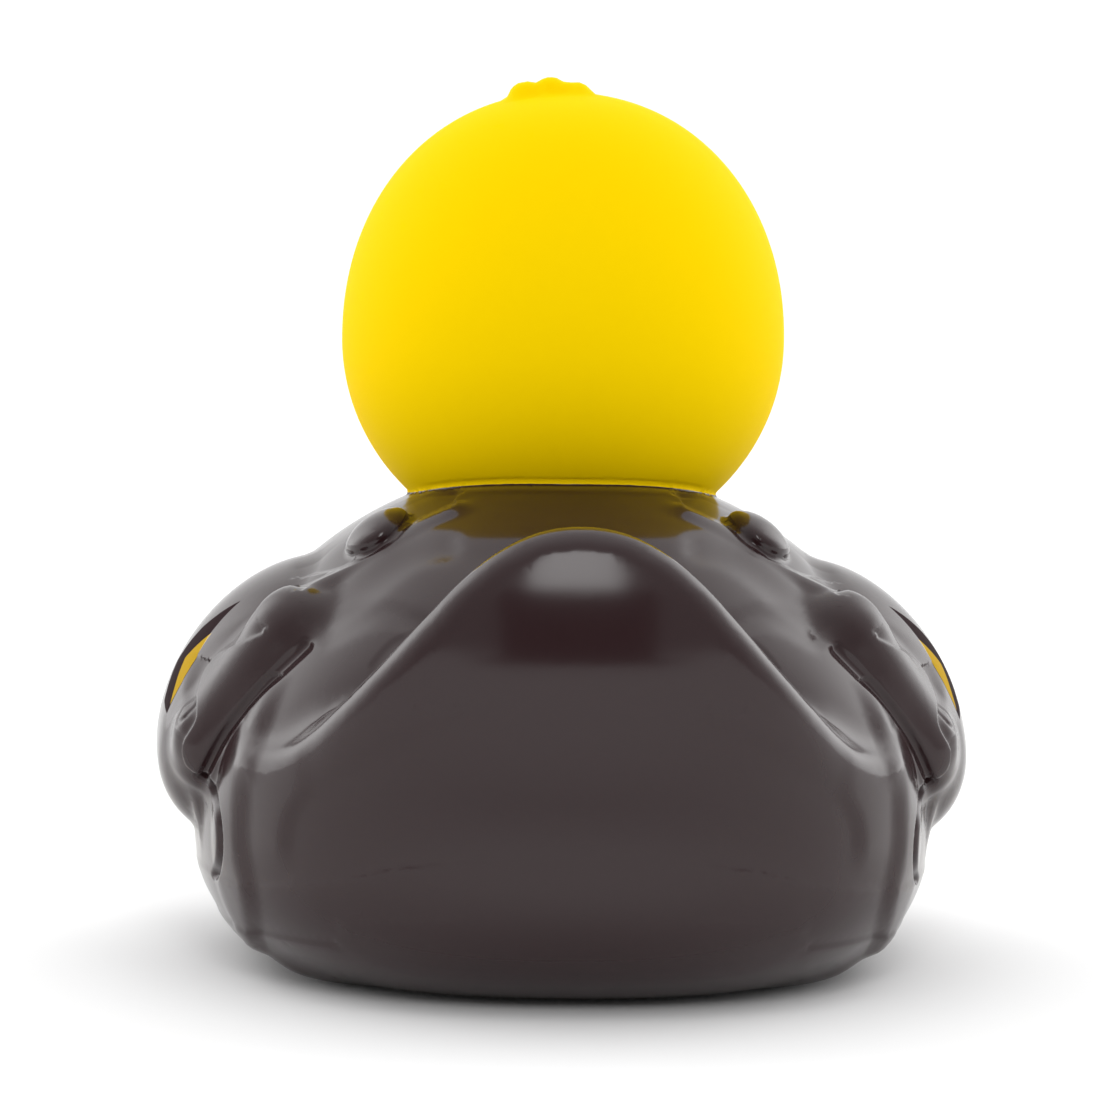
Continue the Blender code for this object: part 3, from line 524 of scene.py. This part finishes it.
def front_relief(sizes, suit, forms, points, places):
    """How far the closure, the ledges, the belt's buckle and the eyes stand in or out from the front."""
    pressed = CLOSURE_DEPTH * groove(from_route(places, CLOSURE)[0], CLOSURE_WIDTH)
    buckle_z = BELT_LINE[0][1] / MM - BUCKLE_HALF_HEIGHT
    upward = BUCKLE_HALF_HEIGHT - np.abs(places[:, 1] - buckle_z)
    inside = np.minimum(BUCKLE_HALF_WIDTH - places[:, 0], upward)
    pressed -= suit.buckle_height * (step_up(inside, 0.0006) - 0.6 * step_up(inside - BUCKLE_RIM, 0.0005))
    pressed -= suit.eye_height * step_up(from_eye(sizes, forms, points) - 0.0004, 0.0008)
    for line in (BELT_LINE, HEM_LINE):
        pressed -= 2 * suit.ledge_height * step_up(-above_line(places, line), suit.ledge_run)
    return pressed


def relief(sizes, suit, forms, points):
    """How far the surface is pressed in at each point, from behind or from the front."""
    halved = sided(points)
    places = halved[:, (0, 2)]
    behind = np.clip(points[:, 1] / 0.004, 0, 1)
    ahead = np.clip(-points[:, 1] / 0.004, 0, 1)
    above = np.clip(points[:, 2] / 0.004, 0, 1)
    on_suit = step_up(from_head(forms, points) - from_suit(sizes, forms, points) - 0.0008, 0.0016)
    lip = suit.lip_depth * groove(from_suit(sizes, forms, points) - 0.0006, 0.0006) * (1 - on_suit) * behind
    back = back_relief(suit, points, places) * on_suit
    return above * (behind * back + ahead * front_relief(sizes, suit, forms, points, places)) + lip


def from_eye(sizes, forms, points):
    """How far inside an eye's outline the points are, on the face."""
    across = (np.abs(points[:, 0]) - sizes.eyes_apart / 2) / (sizes.eye_width / 2)
    upward = (points[:, 2] - forms.head.centre[2] - sizes.eyes_above) / (sizes.eye_height / 2)
    return np.where(points[:, 1] < 0, (1 - np.hypot(across, upward)) * sizes.eye_width / 2, -1.0)


def inside_outline(points, outline):
    """How far inside a bulging outline on the side of the arm the points are, in metres."""
    places = sided(points)[:, 1:]
    stops = np.array(outline) / MM
    inside = np.where(np.abs(points[:, 0]) > 0.030, 1.0, -1.0)
    for start, end in zip(stops, np.roll(stops, -1, axis=0)):
        line = (end - start) / np.linalg.norm(end - start)
        offset = places - start
        inside = np.minimum(inside, offset[:, 1] * line[0] - offset[:, 0] * line[1])
    return inside


def slopes(form, points, heights):
    """The form's gradient, one row for each point, from its heights there."""
    rows = []
    for axis in range(3):
        step = np.zeros(3)
        step[axis] = SLOPE_STEP
        rows.append((form(points + step) - heights) / SLOPE_STEP)
    return np.stack(rows, axis=1)


def mesh_points(mesh):
    points = np.empty(len(mesh.vertices) * 3)
    mesh.vertices.foreach_get("co", points)
    return points.reshape(-1, 3)


def store_points(mesh, points):
    mesh.vertices.foreach_set("co", np.ascontiguousarray(points).ravel())
    mesh.update()


def evened(points, edges):
    """Each point moved halfway to the middle of its neighbours."""
    total = np.zeros_like(points)
    for axis in range(3):
        for ends, others in (edges.T, edges.T[::-1]):
            total[:, axis] += np.bincount(ends, weights=points[others, axis], minlength=len(points))
    count = np.bincount(edges.ravel(), minlength=len(points))
    return (points + total / count[:, None]) / 2


def settle(mesh, form, rounds, even_rounds):
    """Draws a rough mesh's vertices onto the form, evening them out on the way."""
    points = mesh_points(mesh)
    edges = np.empty(len(mesh.edges) * 2, dtype=np.int32)
    mesh.edges.foreach_get("vertices", edges)
    edges = edges.reshape(-1, 2)
    for number in range(rounds):
        if number < even_rounds:
            points = evened(points, edges)
        heights = form(points)
        slope = slopes(form, points, heights)
        steepness = np.maximum((slope**2).sum(axis=1), 0.2)
        points = points - slope * (heights / steepness)[:, None]
    store_points(mesh, points)


def mesh_of(name, shape):
    """A mesh made of a shape that isn't needed any more."""
    mesh = bpy.data.meshes.new(name)
    shape.to_mesh(mesh)
    shape.free()
    return mesh


def placed(name, content):
    """An object in the scene with a mesh, a camera or a light."""
    thing = bpy.data.objects.new(name, content)
    bpy.context.scene.collection.objects.link(thing)
    return thing


def modified(thing):
    """A mesh of the object with its modifiers applied."""
    return bpy.data.meshes.new_from_object(thing.evaluated_get(bpy.context.evaluated_depsgraph_get()))


def ball_mesh(segments, rings):
    ball = bmesh.new()
    bmesh.ops.create_uvsphere(ball, u_segments=segments, v_segments=rings, radius=1)
    return mesh_of("ball", ball)


def add_egg(shape, egg):
    """Adds an egg to the rough shape: a ball whose vertices are pushed out to it."""
    mesh = ball_mesh(40, 24)
    directions = mesh_points(mesh)
    store_points(mesh, directions / egg_gauge(egg, directions)[:, None] + egg.centre)
    shape.from_mesh(mesh)
    bpy.data.meshes.remove(mesh)


def add_ball(shape, place, radius):
    mesh = ball_mesh(14, 8)
    mesh.transform(Matrix.Translation(place) @ Matrix.Scale(radius, 4))
    shape.from_mesh(mesh)
    bpy.data.meshes.remove(mesh)


def add_limb(shape, limb, balls=6):
    """Adds a limb to the rough shape as a row of balls."""
    for number in range(balls):
        place = Vector(limb.start).lerp(Vector(limb.end), number / (balls - 1))
        add_ball(shape, place, (limb.radius + limb.end_radius) / 2)


def add_tail(shape, sizes, columns=15, rows=7):
    """Adds the tail to the rough shape as a fan of balls inside its wall."""
    for column in range(columns):
        across = sizes.tail_half_width * 1.5 * (2 * column / (columns - 1) - 1)
        around = (1 - (abs(across) * 2 / sizes.body_width) ** PLAN_POWER) ** (1 / PLAN_POWER)
        top = tail_top(sizes, abs(across)) - sizes.tail_lip / 2
        for row in range(rows):
            height = top + (sizes.tail_root_z - sizes.tail_lip - top) * row / (rows - 1)
            radius = (sizes.tail_lip + TAIL_TAPER * (top - height)) / 2
            lean = TAIL_CURVE * (height - sizes.tail_belly_z) ** 2
            reach = sizes.rump_reach + sizes.tail_behind - lean - radius
            add_ball(shape, (across, reach * around, height), radius)


def mirror_across(shape):
    """Copies the rough shape to the other side of x = 0."""
    copy = bmesh.ops.duplicate(shape, geom=shape.verts[:] + shape.edges[:] + shape.faces[:])
    for part in copy["geom"]:
        if isinstance(part, bmesh.types.BMVert):
            part.co.x = -part.co.x
    faces = [part for part in copy["geom"] if isinstance(part, bmesh.types.BMFace)]
    bmesh.ops.reverse_faces(shape, faces=faces)


def rough_duck(sizes, forms):
    """The duck's main forms as overlapping solids, cut off flat at the base."""
    shape = bmesh.new()
    for egg in (forms.upper_arm, forms.hand, forms.pad):
        add_egg(shape, egg)
    for limb in (forms.triceps, forms.forearm, forms.strap, forms.tube):
        add_limb(shape, limb)
    mirror_across(shape)
    for egg in (forms.torso, forms.head, forms.bill, forms.chin):
        add_egg(shape, egg)
    for curl in forms.curls:
        add_limb(shape, curl)
    add_tail(shape, sizes)
    bmesh.ops.bisect_plane(shape, geom=shape.verts[:] + shape.edges[:] + shape.faces[:],
                           plane_co=(0, 0, 0), plane_no=(0, 0, -1), clear_outer=True)
    bmesh.ops.holes_fill(shape, edges=[edge for edge in shape.edges if edge.is_boundary])
    return shape


def remeshed(shape, facet):
    """Fuses the rough shape's overlapping solids into one closed mesh of small squares."""
    mesh = mesh_of("rough", shape)
    rough = placed("rough", mesh)
    fuse = rough.modifiers.new("fuse", "REMESH")
    fuse.mode = "VOXEL"
    fuse.voxel_size = facet
    fused = modified(rough)
    bpy.data.objects.remove(rough)
    bpy.data.meshes.remove(mesh)
    return fused


def refine(mesh, near):
    """Splits the edges whose two ends are near a seam."""
    fine = bmesh.new()
    fine.from_mesh(mesh)
    edges = [edge for edge in fine.edges if all(near[end.index] for end in edge.verts)]
    bmesh.ops.subdivide_edges(fine, edges=edges, cuts=1, use_grid_fill=True)
    fine.to_mesh(mesh)
    fine.free()


def near_seam(sizes, suit, forms, points, reach):
    """True for the points within reach of a seam, a ledge, the neck's crease, an eye or the patch."""
    places = sided(points)[:, (0, 2)]
    behind = points[:, 1] > -0.001
    near = np.zeros(len(points), bool)
    for seam in SEAMS:
        sharpest = min(seam.inner, seam.outer) / MM
        if sharpest < 0.0010:
            near |= from_route(places, seam.route)[0] < reach + sharpest / 2
    near |= from_stud(points) < reach
    torso = np.abs(from_egg(forms.torso, sided(points)))
    near |= (torso + np.abs(from_tail(sizes, sided(points))) < reach) & (places[:, 0] < 0.030)
    near &= points[:, 1] < TAIL_STARTS_Y + reach
    on_side = (places[:, 0] > 0.010) & (places[:, 1] > 0.003)
    for line in (BELT_LINE, HEM_LINE):
        near |= (np.abs(above_line(places, line)) < reach / 2) & on_side
    near &= behind
    near |= np.abs(from_suit(sizes, forms, points)) + np.abs(from_head(forms, points)) < reach * 1.6
    near |= np.abs(from_eye(sizes, forms, points) - 0.0004) < reach
    near |= np.abs(inside_outline(points, PATCH)) < reach
    near |= np.abs(inside_outline(points, PATCH_EDGE)) < reach
    near |= ~behind & (from_route(places, CLOSURE)[0] < reach + 0.0006)
    return near


def skin_mesh(sizes, suit, forms):
    """The duck's finished outer surface."""
    def form(points):
        return casting(sizes, forms, points)

    mesh = remeshed(rough_duck(sizes, forms), sizes.facet)
    settle(mesh, form, rounds=8, even_rounds=6)
    for reach in (0.0015, 0.0008):
        points = mesh_points(mesh)
        refine(mesh, near_seam(sizes, suit, forms, points, reach))
        settle(mesh, form, rounds=2, even_rounds=0)
    points = mesh_points(mesh)
    normals = slopes(form, points, form(points))
    normals /= np.maximum(np.linalg.norm(normals, axis=1), 0.1)[:, None]
    points = points - normals * relief(sizes, suit, forms, points)[:, None]
    points[np.abs(points[:, 2]) < 0.00006, 2] = 0
    store_points(mesh, np.clip(points, *CAD_BOX))
    return mesh


def store_mask(mesh, name, values):
    """Keeps a distance in millimetres at each vertex, for the paint to read."""
    kept = mesh.attributes.new(name, "FLOAT", "POINT")
    kept.data.foreach_set("value", np.clip(values * MM, -5, 5).astype(np.float32))


def store_paint_lines(mesh, sizes, forms):
    """Keeps how far each vertex is inside the suit, the bill, the eyes, the pupils and the arm patches."""
    points = mesh_points(mesh)
    halved = sided(points)
    store_mask(mesh, "suit_inside", from_head(forms, points) - from_suit(sizes, forms, points))
    head = from_egg(forms.head, halved)
    store_mask(mesh, "bill_inside", np.where(points[:, 1] < 0, head - from_bill(forms, halved), -1.0))
    eye = from_eye(sizes, forms, points)
    store_mask(mesh, "eye_inside", eye)
    pupil_across = np.abs(points[:, 0]) - sizes.eyes_apart / 2 + PUPIL_INWARD
    pupil_up = points[:, 2] - forms.head.centre[2] - sizes.eyes_above + PUPIL_LOW
    pupil = PUPIL_RADIUS - np.hypot(pupil_across * 1.1, pupil_up * 0.72)
    store_mask(mesh, "pupil_inside", np.where(points[:, 1] < 0, pupil, -1.0))
    store_mask(mesh, "patch_inside", inside_outline(points, PATCH))
    store_mask(mesh, "patch_edge_inside", inside_outline(points, PATCH_EDGE))


def cut_seat(skin):
    """Sinks the squeaker's seat into the skin's base."""
    low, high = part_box("squeaker_barrel")
    middle = ((low[0] + high[0]) / 2, (low[1] + high[1]) / 2)
    flange_radius = (high[0] - low[0]) / 2 + SEAT_CLEARANCE
    for radius, top in ((flange_radius, FLANGE_RECESS), (SEAT_BORE_RADIUS, high[2] + 0.001)):
        shape = bmesh.new()
        bmesh.ops.create_cone(shape, cap_ends=True, segments=48, radius1=radius, radius2=radius,
                              depth=top + 0.002)
        bmesh.ops.translate(shape, verts=shape.verts, vec=(*middle, (top - 0.002) / 2))
        mesh = mesh_of("seat cutter", shape)
        cutter = placed("seat cutter", mesh)
        cut = skin.modifiers.new("seat", "BOOLEAN")
        cut.operation = "DIFFERENCE"
        cut.object = cutter
        finished = modified(skin)
        skin.modifiers.remove(cut)
        old = skin.data
        skin.data = finished
        bpy.data.meshes.remove(old)
        bpy.data.objects.remove(cutter)
        bpy.data.meshes.remove(mesh)


class Nodes:
    """Adds nodes to a tree and links them in short lines."""

    def __init__(self, tree):
        self.tree = tree

    def add(self, kind, **values):
        node = self.tree.nodes.new(kind)
        for name, value in values.items():
            setattr(node, name, value)
        return node

    def link(self, source, target):
        self.tree.links.new(source, target)

    def math(self, operation, first, second=None):
        node = self.add("ShaderNodeMath", operation=operation)
        self.feed(first, node.inputs[0])
        if second is not None:
            self.feed(second, node.inputs[1])
        return node.outputs[0]

    def mix(self, share_of_second, first, second):
        """A mix of two colours by a mask."""
        node = self.add("ShaderNodeMix", data_type="RGBA")
        self.feed(share_of_second, node.inputs["Factor"])
        self.feed(first, node.inputs[6])
        self.feed(second, node.inputs[7])
        return node.outputs[2]

    def feed(self, value, target):
        """Links a socket, or sets a plain value."""
        if isinstance(value, bpy.types.NodeSocket):
            self.link(value, target)
        elif hasattr(value, "__len__") and len(value) == 3 and target.type == "RGBA":
            target.default_value = (*value, 1)
        else:
            target.default_value = value


def new_group(name, inputs, outputs):
    """An empty shader node group with its sockets, and its two ends."""
    group = bpy.data.node_groups.new(name, "ShaderNodeTree")
    for label, kind, default in inputs:
        socket = group.interface.new_socket(name=label, in_out="INPUT", socket_type=kind)
        if default is not None:
            socket.default_value = default
    for label, kind in outputs:
        group.interface.new_socket(name=label, in_out="OUTPUT", socket_type=kind)
    nodes = Nodes(group)
    return group, nodes, nodes.add("NodeGroupInput"), nodes.add("NodeGroupOutput")


def paint_edge_group():
    """The mask of a painted area: 1 inside its outline, with an edge that wavers as a sprayed one does."""
    group, nodes, start, end = new_group(
        "Paint edge",
        (("Inside", "NodeSocketFloat", 0.0), ("Softness", "NodeSocketFloat", 0.05),
         ("Waver", "NodeSocketFloat", 0.03), ("Waver Scale", "NodeSocketFloat", 900.0)),
        (("Mask", "NodeSocketFloat"),))
    place = nodes.add("ShaderNodeTexCoord")
    noise = nodes.add("ShaderNodeTexNoise")
    nodes.link(place.outputs["Object"], noise.inputs["Vector"])
    nodes.link(start.outputs["Waver Scale"], noise.inputs["Scale"])
    noise.inputs["Detail"].default_value = 2
    waver = nodes.math("MULTIPLY", nodes.math("SUBTRACT", noise.outputs["Fac"], 0.5), start.outputs["Waver"])
    moved = nodes.math("ADD", start.outputs["Inside"], waver)
    edge = nodes.add("ShaderNodeMapRange", interpolation_type="SMOOTHSTEP")
    nodes.link(moved, edge.inputs["Value"])
    nodes.link(nodes.math("MULTIPLY", start.outputs["Softness"], -1.0), edge.inputs["From Min"])
    nodes.link(start.outputs["Softness"], edge.inputs["From Max"])
    nodes.link(edge.outputs["Result"], end.inputs["Mask"])
    return group


def moulded_skin_group():
    """The fine unevenness of moulded plastic: a height for a Bump node, and a mask of faint dull flecks."""
    group, nodes, start, end = new_group(
        "Moulded skin",
        (("Ripple Scale", "NodeSocketFloat", 260.0), ("Grain Scale", "NodeSocketFloat", 2600.0),
         ("Grain", "NodeSocketFloat", 0.3), ("Fleck Scale", "NodeSocketFloat", 700.0)),
        (("Height", "NodeSocketFloat"), ("Flecks", "NodeSocketFloat")))
    place = nodes.add("ShaderNodeTexCoord")

    def noise(scale, detail):
        made = nodes.add("ShaderNodeTexNoise")
        nodes.link(place.outputs["Object"], made.inputs["Vector"])
        nodes.link(scale, made.inputs["Scale"])
        made.inputs["Detail"].default_value = detail
        return made.outputs["Fac"]

    ripple = noise(start.outputs["Ripple Scale"], 2)
    grain = noise(start.outputs["Grain Scale"], 1)
    height = nodes.math("ADD", ripple, nodes.math("MULTIPLY", grain, start.outputs["Grain"]))
    nodes.link(height, end.inputs["Height"])
    fleck = nodes.add("ShaderNodeMapRange", interpolation_type="SMOOTHSTEP")
    nodes.link(noise(start.outputs["Fleck Scale"], 3), fleck.inputs["Value"])
    fleck.inputs["From Min"].default_value = 0.62
    fleck.inputs["From Max"].default_value = 0.74
    nodes.link(fleck.outputs["Result"], end.inputs["Flecks"])
    return group


def group_node(nodes, group, **values):
    node = nodes.add("ShaderNodeGroup")
    node.node_tree = group
    for name, value in values.items():
        nodes.feed(value, node.inputs[name.replace("_", " ")])
    return node


def new_material(name):
    """A material with its nodes and its Principled shader."""
    material = bpy.data.materials.new(name)
    material.use_nodes = True
    return material, Nodes(material.node_tree), material.node_tree.nodes["Principled BSDF"]


def uneven(nodes, shader, surface, roughness, dulling, strength, height):
    """Gives a shader the moulded skin's dull flecks and its fine unevenness."""
    rough = nodes.math("ADD", nodes.math("MULTIPLY", surface.outputs["Flecks"], dulling), roughness)
    nodes.link(rough, shader.inputs["Roughness"])
    bump = nodes.add("ShaderNodeBump")
    bump.inputs["Strength"].default_value = strength
    bump.inputs["Distance"].default_value = height
    nodes.link(surface.outputs["Height"], bump.inputs["Height"])
    nodes.link(bump.outputs["Normal"], shader.inputs["Normal"])


def painted_vinyl(colours):
    """Yellow vinyl, left matt on the head and lacquered dark brown on the suit, with its painted details."""
    edge = bpy.data.node_groups["Paint edge"]
    material, nodes, shader = new_material("painted vinyl")

    def mask(attribute, softness, waver):
        read = nodes.add("ShaderNodeAttribute", attribute_name=attribute)
        made = group_node(nodes, edge, Inside=read.outputs["Fac"], Softness=softness, Waver=waver)
        return made.outputs["Mask"]

    eye = mask("eye_inside", 0.04, 0.06)
    suit = mask("suit_inside", 0.04, 0.10)
    border = mask("patch_edge_inside", 0.05, 0.10)
    colour = colours.vinyl
    for area, tint in ((mask("bill_inside", 0.06, 0.10), colours.bill), (eye, colours.white),
                       (mask("pupil_inside", 0.03, 0.05), colours.black), (suit, colours.suit),
                       (border, colours.patch_edge), (mask("patch_inside", 0.05, 0.12), colours.patch)):
        colour = nodes.mix(area, colour, tint)
    nodes.link(colour, shader.inputs["Base Color"])

    lacquer = nodes.math("SUBTRACT", nodes.math("MAXIMUM", suit, eye), border)
    nodes.link(lacquer, shader.inputs["Coat Weight"])
    shader.inputs["Coat Roughness"].default_value = colours.gloss
    shader.inputs["Coat IOR"].default_value = 1.44
    shader.inputs["Specular IOR Level"].default_value = colours.shine
    surface = group_node(nodes, bpy.data.node_groups["Moulded skin"])
    uneven(nodes, shader, surface, colours.matt, dulling=0.15, strength=0.25, height=0.00006)
    return material


def squeaker_plastic(name, colour, roughness):
    """Plain moulded plastic with the mould's faint unevenness."""
    material, nodes, shader = new_material(name)
    surface = group_node(nodes, bpy.data.node_groups["Moulded skin"], Ripple_Scale=500.0, Grain=0.6)
    tone = nodes.math("MULTIPLY", surface.outputs["Flecks"], 0.3)
    duller = tuple(channel * 0.8 for channel in colour)
    nodes.link(nodes.mix(tone, colour, duller), shader.inputs["Base Color"])
    uneven(nodes, shader, surface, roughness, dulling=0.1, strength=0.2, height=0.00005)
    return material


class DUCK_OT_finishes(bpy.types.Operator):
    """Builds the shared effects that the duck's materials use"""

    bl_idname = "duck.finishes"
    bl_label = "Build finishes"

    def execute(self, context):
        paint_edge_group()
        moulded_skin_group()
        return {"FINISHED"}


class DUCK_OT_casting(bpy.types.Operator):
    """Moulds the duck's skin and paints it"""

    bl_idname = "duck.casting"
    bl_label = "Mould the casting"

    def execute(self, context):
        sizes = context.scene.duck_sizes
        forms = forms_of(sizes)
        mesh = skin_mesh(sizes, context.scene.duck_suit, forms)
        mesh.name = "duck_skin"
        skin = placed("duck_skin", mesh)
        cut_seat(skin)
        skin.data.validate()
        store_paint_lines(skin.data, sizes, forms)
        skin.data.materials.clear()
        skin.data.materials.append(painted_vinyl(context.scene.duck_paint))
        skin.data.shade_smooth()
        skin.data.set_sharp_from_angle(angle=math.radians(60))
        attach(skin, "root")
        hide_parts("duck_shell")
        return {"FINISHED"}


class DUCK_OT_squeaker(bpy.types.Operator):
    """Gives the squeaker's pieces their plastics"""

    bl_idname = "duck.squeaker"
    bl_label = "Finish the squeaker"

    def execute(self, context):
        colours = context.scene.duck_paint
        white = squeaker_plastic("squeaker white", tuple(colours.squeaker), 0.32)
        amber = squeaker_plastic("reed film", tuple(colours.reed), 0.18)
        plastics = {"squeaker_barrel": white, "squeaker_cap": white, "squeaker_reed": amber}
        for name, material in plastics.items():
            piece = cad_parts[name]
            piece.data.materials.clear()
            piece.data.materials.append(material)
        return {"FINISHED"}


def stage_plane(name, width, depth, matrix, material):
    """A flat sheet that belongs to the studio."""
    shape = bmesh.new()
    bmesh.ops.create_grid(shape, x_segments=1, y_segments=1, size=0.5)
    bmesh.ops.scale(shape, verts=shape.verts, vec=(width, depth, 1))
    mesh = mesh_of(name, shape)
    mesh.materials.append(material)
    sheet = placed(name, mesh)
    sheet.matrix_world = matrix


def white_room(studio):
    """A white room that is brighter overhead and at its sides and dimmer on the camera's side."""
    world = bpy.data.worlds.new("white room")
    world.use_nodes = True
    nodes = Nodes(world.node_tree)
    way = nodes.add("ShaderNodeTexCoord")
    parts = nodes.add("ShaderNodeSeparateXYZ")
    nodes.link(way.outputs["Generated"], parts.inputs["Vector"])

    def ramp(value, low, high, start, end):
        made = nodes.add("ShaderNodeMapRange", interpolation_type="SMOOTHSTEP")
        nodes.link(value, made.inputs["Value"])
        for label, number in (("From Min", low), ("From Max", high), ("To Min", start), ("To Max", end)):
            made.inputs[label].default_value = number
        return made.outputs["Result"]

    front = ramp(parts.outputs["Y"], -0.15, 0.75, 1.0, studio.room_front)
    above = ramp(parts.outputs["Z"], 0.1, 1.0, 1.0, 1 + studio.room_above)
    aside = ramp(nodes.math("ABSOLUTE", parts.outputs["X"]), 0.3, 0.75, 0.0, studio.room_sides)
    sides = nodes.math("MULTIPLY", aside, ramp(parts.outputs["Y"], -0.65, 0.05, 1.0, 0.0))
    strength = nodes.math("ADD", nodes.math("MULTIPLY", front, above), sides)
    strength = nodes.math("MULTIPLY", strength, studio.room)
    light = world.node_tree.nodes["Background"]
    light.inputs["Color"].default_value = (1, 1, 1, 1)
    nodes.link(strength, light.inputs["Strength"])
    return world


def matt_grey(name, tone):
    """A plain material without any shine."""
    material, nodes, shader = new_material(name)
    shader.inputs["Base Color"].default_value = (tone, tone, tone, 1)
    shader.inputs["Roughness"].default_value = 1.0
    shader.inputs["Specular IOR Level"].default_value = 0.0
    return material


def facing(place, target):
    """The placing of a thing at a place whose -Z looks at the target."""
    turn = (Vector(target) - Vector(place)).to_track_quat("-Z", "Y")
    return Matrix.Translation(place) @ turn.to_matrix().to_4x4()


class DUCK_OT_studio(bpy.types.Operator):
    """Sets the floor, the lights and the camera"""

    bl_idname = "duck.studio"
    bl_label = "Set the studio"

    def execute(self, context):
        scene = context.scene
        studio = scene.duck_studio
        scene.view_settings.view_transform = "Standard"

        paper, nodes, shader = new_material("white paper")
        shader.inputs["Base Color"].default_value = (0.93, 0.93, 0.93, 1)
        shader.inputs["Roughness"].default_value = 0.9
        stage_plane("floor", 9.0, 9.0, Matrix.Translation((0, 0, -0.0001)), paper)
        scene.world = white_room(studio)

        turn = studio.camera_turn
        rise = studio.camera_rise
        aim = Vector((studio.aim_x, 0, studio.aim_z))
        towards = Vector((math.sin(turn) * math.cos(rise), math.cos(turn) * math.cos(rise), math.sin(rise)))
        camera = bpy.data.cameras.new("camera")
        camera.sensor_width = 36
        camera.lens = 36 * studio.camera_distance / studio.frame_width
        camera.clip_start = 0.01
        holder = placed("camera", camera)
        roll = Matrix.Rotation(studio.camera_roll, 4, "Z")
        holder.matrix_world = facing(aim + towards * studio.camera_distance, aim) @ roll
        scene.camera = holder

        panel = bpy.data.lights.new("panel", "AREA")
        panel.shape = "RECTANGLE"
        panel.size = PANEL_WIDTH
        panel.size_y = PANEL_HEIGHT
        panel.energy = studio.panel
        placed("panel", panel).matrix_world = facing(PANEL_PLACE, (0, 0, 0.05))

        grey = matt_grey("grey card", 0.10)
        black = matt_grey("black cloth", 0.004)
        stage_plane("dark card", CARD_WIDTH, 0.40, facing(CARD_PLACE, (0, 0, 0.04)), grey)
        stage_plane("dark cloth", CARD_WIDTH, 0.42, Matrix.Translation(CLOTH_PLACE), black)
        return {"FINISHED"}


class DUCK_PT_panel(bpy.types.Panel):
    """Lists the duck's sizes, paints and steps in the sidebar"""

    bl_idname = "DUCK_PT_panel"
    bl_label = "Bath duck"
    bl_space_type = "VIEW_3D"
    bl_region_type = "UI"
    bl_category = "Duck"

    def draw(self, context):
        layout = self.layout
        for step in STEPS:
            layout.operator(step.bl_idname)
        for group in (context.scene.duck_sizes, context.scene.duck_suit, context.scene.duck_paint,
                      context.scene.duck_studio):
            box = layout.box()
            for name in group.__annotations__:
                box.prop(group, name)


GROUPS = (DuckSizes, DuckSuit, DuckPaint, DuckStudio)
STEPS = (DUCK_OT_finishes, DUCK_OT_casting, DUCK_OT_squeaker, DUCK_OT_studio)


def register():
    for kind in GROUPS + STEPS + (DUCK_PT_panel,):
        bpy.utils.register_class(kind)
    bpy.types.Scene.duck_sizes = PointerProperty(type=DuckSizes)
    bpy.types.Scene.duck_suit = PointerProperty(type=DuckSuit)
    bpy.types.Scene.duck_paint = PointerProperty(type=DuckPaint)
    bpy.types.Scene.duck_studio = PointerProperty(type=DuckStudio)


def unregister():
    for name in ("duck_sizes", "duck_suit", "duck_paint", "duck_studio"):
        delattr(bpy.types.Scene, name)
    for kind in reversed(GROUPS + STEPS + (DUCK_PT_panel,)):
        bpy.utils.unregister_class(kind)


def main():
    register()
    bpy.ops.duck.finishes()
    bpy.ops.duck.casting()
    bpy.ops.duck.squeaker()
    bpy.ops.duck.studio()


if __name__ == "__main__":
    main()
